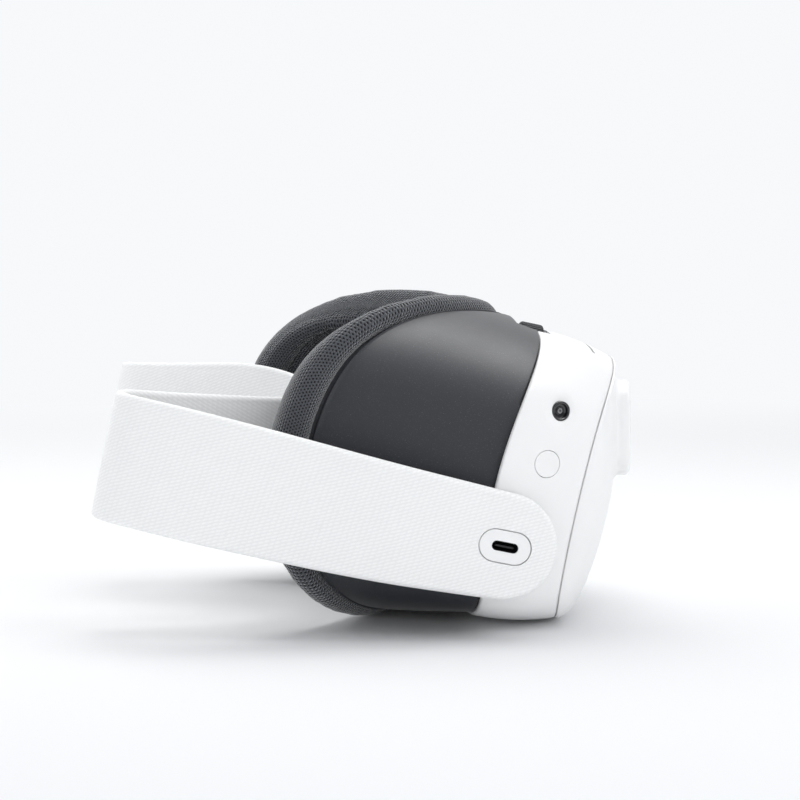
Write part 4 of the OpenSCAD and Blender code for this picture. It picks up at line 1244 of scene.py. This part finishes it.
def build_strap():
    # smooth course: linear through the stations, sampled evenly, the heading smoothed
    s_st = WHOLE[:, 3]
    s = np.concatenate([np.arange(17.0, s_st[-1] - 17.0, 1.6), [s_st[-1] - 17.0]])
    hd = np.interp(s, s_st, WHOLE[:, 2])
    k = np.hanning(9)[1:-1]
    k /= k.sum()
    hd = np.convolve(np.pad(hd, 3, mode="edge"), k, "valid")
    fine = np.linspace(s_st[0], s_st[-1], 6001)
    tx = -np.cos(np.interp(fine, s_st, WHOLE[:, 2]))
    x = np.interp(s, s_st, WHOLE[:, 0])
    y = np.interp(s, s_st, WHOLE[:, 1])
    # round the polyline's corners a little
    for arr in (x, y):
        ends = arr[[0, 1, 2, -3, -2, -1]].copy()
        sm = np.convolve(np.pad(arr, 3, mode="edge"), k, "valid")
        wgt = ss((np.minimum(s, s_st[-1] - s) - 45) / 15)
        arr[:] = arr * (1 - wgt) + sm * wgt
    dx, dy = np.gradient(x, s), np.gradient(y, s)
    l = np.hypot(dx, dy)
    nx, ny = -dy / l, dx / l  # outwards on both arms
    H = band_h(s)
    T = band_t(s)
    Z = rise(s)
    # rows across the height: fraction of the half height, denser near the rim
    fr = np.array([0, .08, .16, .24, .32, .40, .48, .56, .64, .71, .77, .82, .86, .89, .915, .935, .952, .966, .978, .987, .994, .998, 1.0])
    rows = np.concatenate([-fr[::-1], fr[1:]])
    K = len(fr)

    def thick(dist, T):
        """half thickness at a distance from the rim: rounded edge, then a soft hem line, then the flat"""
        rr = np.minimum(T, 2.0)
        q = np.clip(dist / rr, 0, 1)
        edge = np.sqrt(np.clip(1 - (1 - q) ** 2, 0, 1))
        hem = 0.10 * np.exp(-(((dist - 2.6) / 0.55) ** 2))
        crown = 0.16 * ss((dist - 3.0) / 9.0)
        return T * edge * 0.965 - hem + crown * 0.6

    verts, faces, uvs = [], [], []
    n = len(s)
    nr = len(rows)
    # front (outer) and back sheets share their rims
    front = np.zeros((n, nr), int)
    back = np.zeros((n, nr), int)
    for i in range(n):
        for j, f in enumerate(rows):
            z = f * H[i]
            t = thick(H[i] - abs(z), T[i])
            if abs(f) == 1.0:
                t = 0.0
            front[i, j] = len(verts)
            verts.append((x[i] + nx[i] * t, y[i] + ny[i] * t, Z[i] + z))
            uvs.append((s[i] / 1000, z / 1000))
            if abs(f) == 1.0:
                back[i, j] = front[i, j]
            else:
                back[i, j] = len(verts)
                verts.append((x[i] - nx[i] * t, y[i] - ny[i] * t, Z[i] + z))
                uvs.append((s[i] / 1000, z / 1000))
    for i in range(n - 1):
        for j in range(nr - 1):
            faces.append((front[i, j], front[i + 1, j], front[i + 1, j + 1], front[i, j + 1]))
            faces.append((back[i, j], back[i, j + 1], back[i + 1, j + 1], back[i + 1, j]))
    # round ends about each pivot
    na = 40
    for side, i in ((-1, 0), (1, n - 1)):
        cx, cy = 0.0, side * arm_y
        for sheet_, sgn, grid in (("f", 1, front), ("b", -1, back)):
            prev = None
            cols = []
            for q in range(na + 1):
                th = math.pi / 2 - math.pi * q / na  # from top to bottom through +x
                col = []
                for m in range(1, K):
                    r = fr[m] * arm_r
                    if q == 0:
                        col.append(grid[i, K - 1 + m])
                    elif q == na:
                        col.append(grid[i, K - 1 - m])
                    elif sheet_ == "b" and m == K - 1:
                        col.append(rim[q])
                    else:
                        t = thick(arm_r - r, T[i]) if m < K - 1 else 0.0
                        col.append(len(verts))
                        px, pz = r * math.cos(th), r * math.sin(th)
                        verts.append((cx + px, cy + side * t * sgn, pz))
                        sv = (s[0] - px) if side < 0 else (s[-1] + px)
                        uvs.append((sv / 1000, pz / 1000))
                cols.append(col)
            if sheet_ == "f":
                rim = [c[-1] for c in cols]
            c0 = grid[i, K - 1]
            for q in range(na):
                a, b = cols[q], cols[q + 1]
                faces.append((c0, a[0], b[0]))
                for m in range(K - 2):
                    faces.append((a[m], a[m + 1], b[m + 1], b[m]))
    me = bpy.data.meshes.new("head_strap_band")
    me.from_pydata([tuple(v) for v in R(np.asarray(verts))], [], faces)
    me.update()
    uvs = np.asarray(uvs)
    uv = me.uv_layers.new(name="twill")
    li = np.zeros(len(me.loops), int)
    me.loops.foreach_get("vertex_index", li)
    uv.data.foreach_set("uv", uvs[li].astype(np.float32).ravel())
    bm = bmesh.new()
    bm.from_mesh(me)
    bmesh.ops.recalc_face_normals(bm, faces=bm.faces)
    bm.to_mesh(me)
    bm.free()
    me.shade_smooth()
    ob = add_object("head_strap_band", me, MAT["twill"])
    cuts = []
    for s_ in (-1, 1):
        cuts.append(loft_stadium("cut", 11.2, 17.9, [(0, arm_y + 0.5), (0, arm_y + 6)], side_axis(s_), None, lying=True))
        cuts.append(cutter_cyl(side_axis(s_), 12.4, arm_y - 6, arm_y - 0.9, 96))
        if s_ < 0:
            cuts.append(loft_stadium("cut", 6.0, 11.2, [(0, arm_y - 6), (0, arm_y + 6)], side_axis(s_), None, lying=True))
        else:
            cuts.append(cutter_cyl(side_axis(s_), 4.5, arm_y - 6, arm_y + 6, 96))
    boolean(ob, cuts, angle=50)
    return ob


strap = piece(build_strap(), "head_strap", "rear_strap", "arm_sleeve_left", "arm_sleeve_right", slot="strap_fabric")

# port island on the left, jack island on the right
for s, nm in ((-1, "usb"), (1, "audio")):
    F = side_axis(s)
    y1 = arm_y + arm_t / 2 - 0.12
    w, l = 10.6, 17.3
    edge = [(0, arm_y + 0.52), (0, y1 - 0.35)] + [(-0.35 + 0.35 * math.cos(math.radians(a)), y1 - 0.35 + 0.35 * math.sin(math.radians(a))) for a in (20, 45, 70, 90)]
    ob = loft_stadium(f"{nm}_island_plate", w, l, [(-3.5, arm_y + 0.52)] + edge + [(-1.6, y1 + 0.02), (-3.0, y1 + 0.02), (-4.2, y1 + 0.02)], F, MAT["white_trim"], lying=True)
    if nm == "usb":
        cut = loft_stadium("cut", 3.30, 8.98, [(0, arm_y - 2), (0, arm_y + 6)], F, None, lying=True, n=32)
        boolean(ob, [cut], angle=30)
        bevel(ob, 0.12, 2, 60)
        apply_mods(ob)
        ob.data.shade_smooth(); ob.data.set_sharp_from_angle(angle=math.radians(30))
        piece(ob, "head_strap", "usb_island", slot="white_trim")
        # receptacle shell and back take the painted-shade black, for the dark of the slot
        shell = loft_stadium("usb_receptacle_shell", 3.26, 8.94,
                             [(0, arm_y - 5), (0, arm_y + 1.55), (-0.04, arm_y + 1.62), (-0.26, arm_y + 1.62), (-0.30, arm_y + 1.55), (-0.30, arm_y - 4.4), (-1.5, arm_y - 4.4), (-1.5, arm_y - 5)],
                             F, MAT["port_deep"], wrap=True, caps=False, lying=True, n=32)
        piece(shell, "head_strap", "usb_receptacle", slot="port_black")
        back = loft_stadium("usb_receptacle_back", 2.64, 8.3, [(0, arm_y - 4.7), (0, arm_y - 4.2)], F, MAT["port_deep"], lying=True)
        piece(back, "head_strap", slot="port_black")
        A = np.asarray(F)
        tongue = cutter_box((arm_y - 4.5, -3.2, -0.35), (arm_y + 0.9, 3.2, 0.35), F)
        tongue.name = "usb_receptacle_tongue"; tongue.data.name = "usb_receptacle_tongue"
        tongue.data.materials.append(MAT["port"])
        bevel(tongue, 0.15, 3, 40); apply_mods(tongue); tongue.data.shade_smooth(); tongue.data.set_sharp_from_angle(angle=math.radians(30))
        piece(tongue, "head_strap", slot="port_black")
    else:
        cut = cutter_cyl(F, 3.02, arm_y - 4, arm_y + 6, 96)
        boolean(ob, [cut], angle=30)
        piece(ob, "head_strap", "audio_island", slot="white_trim")
        jack = lathe("audio_jack_barrel", [(0, arm_y - 13.1), (2.98, arm_y - 13.1), (2.98, arm_y + 1.95), (2.8, arm_y + 2.16), (2.0, arm_y + 2.16), (1.76, arm_y + 1.9), (1.76, arm_y - 12.1), (0, arm_y - 12.1)],
                     F, MAT["port"], 96, 30, close=False)
        piece(jack, "head_strap", "audio_jack", slot="port_black")

# ------------------------------------------------------------------ eye units
for s, nm in ((-1, "left"), (1, "right")):
    F = place(0, s * eye_y, eye_z)
    b = barrel_r + 0.2
    prof = [(b - 2.7, -10.4)] + arc((b - 2.2, -10.5), 0.5, 160, 60, 5) + arc((b - 0.8, -10.0), 0.8, 75, 0, 6)
    for i in range(6):  # fine grip lines on the barrel
        x = -8.0 + i * 0.9
        prof += [(b, x), (b - 0.16, x + 0.22), (b - 0.16, x + 0.45), (b, x + 0.67)]
    prof += [(b, 9), (b, 9.1), (b - 3.2, 12.1), (b - 7.3, 12.1), (b - 7.3, 10.5), (b - 4.3, 8.5), (b - 4.3, -5.1), (b - 2.7, -5.25)]
    ob = lathe(f"eye_barrel_{nm}", prof, F, MAT["dark_inner"], 144, 28)
    piece(ob, f"eye_unit_{nm}", slot="dark_inner")
    rr = b - 2.5
    lp = [(0, -5.3), (rr - 0.3, -5.3), (rr, -5.6), (rr, -7.0)] + [(rr * (1 - i / 18), -7.25 - 2.55 * (1 - (1 - i / 18) ** 2)) for i in range(0, 18)] + [(0, -9.8)]
    ob = lathe(f"eye_lens_{nm}", lp, F, MAT["lens"], 128, 30, close=False)
    piece(ob, f"eye_unit_{nm}", f"lens_{nm}", slot="lens_glass")

# ------------------------------------------------------------------ CAD nodes that keep their shape
KEEP = {"mid_frame": "frame_plastic", "eye_panel": "dark_inner", "main_board": "pcb", "heat_spreader": "heat", "fan_housing": "dark_inner",
        "fan_rotor": "dark_inner", "battery": "wrap", "ipd_screw": "steel", "ipd_rail": "steel", "proximity_sensor": "gloss", "vent_grilles": "white_trim",
        "lens_barrel_left": "dark_inner", "lens_barrel_right": "dark_inner", "display_left": "display", "display_right": "display",
        "front_camera_left": "gloss", "front_camera_right": "gloss", "depth_projector": "gloss",
        "pivot_post_left": "steel", "pivot_post_right": "steel", "pivot_bushing_left": "bush", "pivot_bushing_right": "bush", "pivot_washers": "steel",
        "arm_core_left": "core", "arm_core_right": "core", "speaker_left": "port", "speaker_right": "port", "frame_screws": "steel"}
for n, k in KEEP.items():
    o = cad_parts[n]
    if not o.data.materials:
        o.data.materials.append(MAT[k])
    for i in range(len(o.data.materials)):
        o.data.materials[i] = MAT[k]
    for sl in o.material_slots:
        sl.material = MAT[k]

# ------------------------------------------------------------------ floor and light
def build_floor():
    prof = [(-2.5, 0.0), (-1.0, 0.0), (0.0, 0.0), (0.8, 0.0), (1.6, 0.0)]
    rad = 0.9
    for a in np.linspace(0, 90, 24)[1:]:
        q = math.radians(a)
        prof.append((1.6 + rad * math.sin(q), rad * (1 - math.cos(q))))
    prof.append((2.5, 3.5))
    xs = np.linspace(-4, 4, 9)
    verts = [(x, y, z) for y, z in prof for x in xs]
    nx = len(xs)
    faces = [(i * nx + j, i * nx + j + 1, (i + 1) * nx + j + 1, (i + 1) * nx + j) for i in range(len(prof) - 1) for j in range(nx - 1)]
    me = bpy.data.meshes.new("floor")
    me.from_pydata(verts, [], faces)
    me.shade_smooth()
    ob = bpy.data.objects.new("floor", me)
    COL.objects.link(ob)
    t = NT("floor_paper")
    c = t.coord()
    g = t.noise(c, 400.0, 3.0, 0.6)
    slow = t.noise(c, 1.4, 2.0, 0.5)
    # the sweep glows evenly from behind, so that no horizon shows
    sep = t.n("ShaderNodeSeparateXYZ")
    t.l(c, sep.inputs[0])
    far = t.smooth(sep.outputs[1], 0.12, 1.1)
    paper = t.mix(t.lin(slow, 0.3, 0.7), (0.806, 0.810, 0.816), (0.814, 0.818, 0.824))
    t.set(color=t.mix(far, paper, (0.0, 0.0, 0.0)), rough=t.lin(g, 0.3, 0.7, 0.85, 0.95), spec=0.0)
    t.b.inputs["Emission Color"].default_value = (0.930, 0.944, 0.962, 1)
    t.l(far, t.b.inputs["Emission Strength"])
    t.bump(g, 0.02, 0.0001)
    me.materials.append(t.m)
    return ob


build_floor()
w = bpy.data.worlds.new("studio")
SC.world = w
w.use_nodes = True
bg = w.node_tree.nodes["Background"]
bg.inputs[0].default_value = (0.90, 0.94, 1.0, 1)
bg.inputs[1].default_value = 0.35


def area(name, loc, target, size, energy, color=(1, 1, 1), spread=180):
    d = bpy.data.lights.new(name, "AREA")
    d.shape, d.size, d.size_y = "RECTANGLE", size[0], size[1]
    d.energy, d.color = energy, color
    d.spread = math.radians(spread)
    o = bpy.data.objects.new(name, d)
    COL.objects.link(o)
    o.location = loc
    o.rotation_euler = (Vector(target) - Vector(loc)).to_track_quat("-Z", "Y").to_euler()
    return o


area("top_softbox", (0.28, -0.06, 1.15), (0, 0, 0.04), (1.1, 1.1), 4.7, (1.0, 0.997, 0.992))
area("back_softbox", (-0.50, 0.72, 0.95), (0, 0, 0.04), (1.1, 0.8), 5.0, (1.0, 0.995, 0.985))
area("over_softbox", (0.05, 0.25, 0.85), (0, 0, 0.04), (0.5, 0.5), 1.9, (1.0, 0.997, 0.992))
area("left_card", (-1.3, -0.2, 0.6), (0, 0, 0.04), (0.9, 0.9), 3.2, (0.985, 0.992, 1.0))
area("right_card", (1.2, -0.5, 0.7), (0, 0, 0.04), (0.9, 0.9), 4.9, (0.985, 0.992, 1.0))
area("low_front_fill", (-0.2, -1.8, 0.32), (0, 0, 0.04), (3.0, 0.7), 13.5, (0.985, 0.990, 1.0)).visible_glossy = False
sheen_card = area("gloss_card", (0.30, -0.28, 1.0), (0.03, 0, 0.06), (0.9, 0.7), 10.0, (1.0, 0.998, 0.995))
sheen_card.visible_diffuse = False
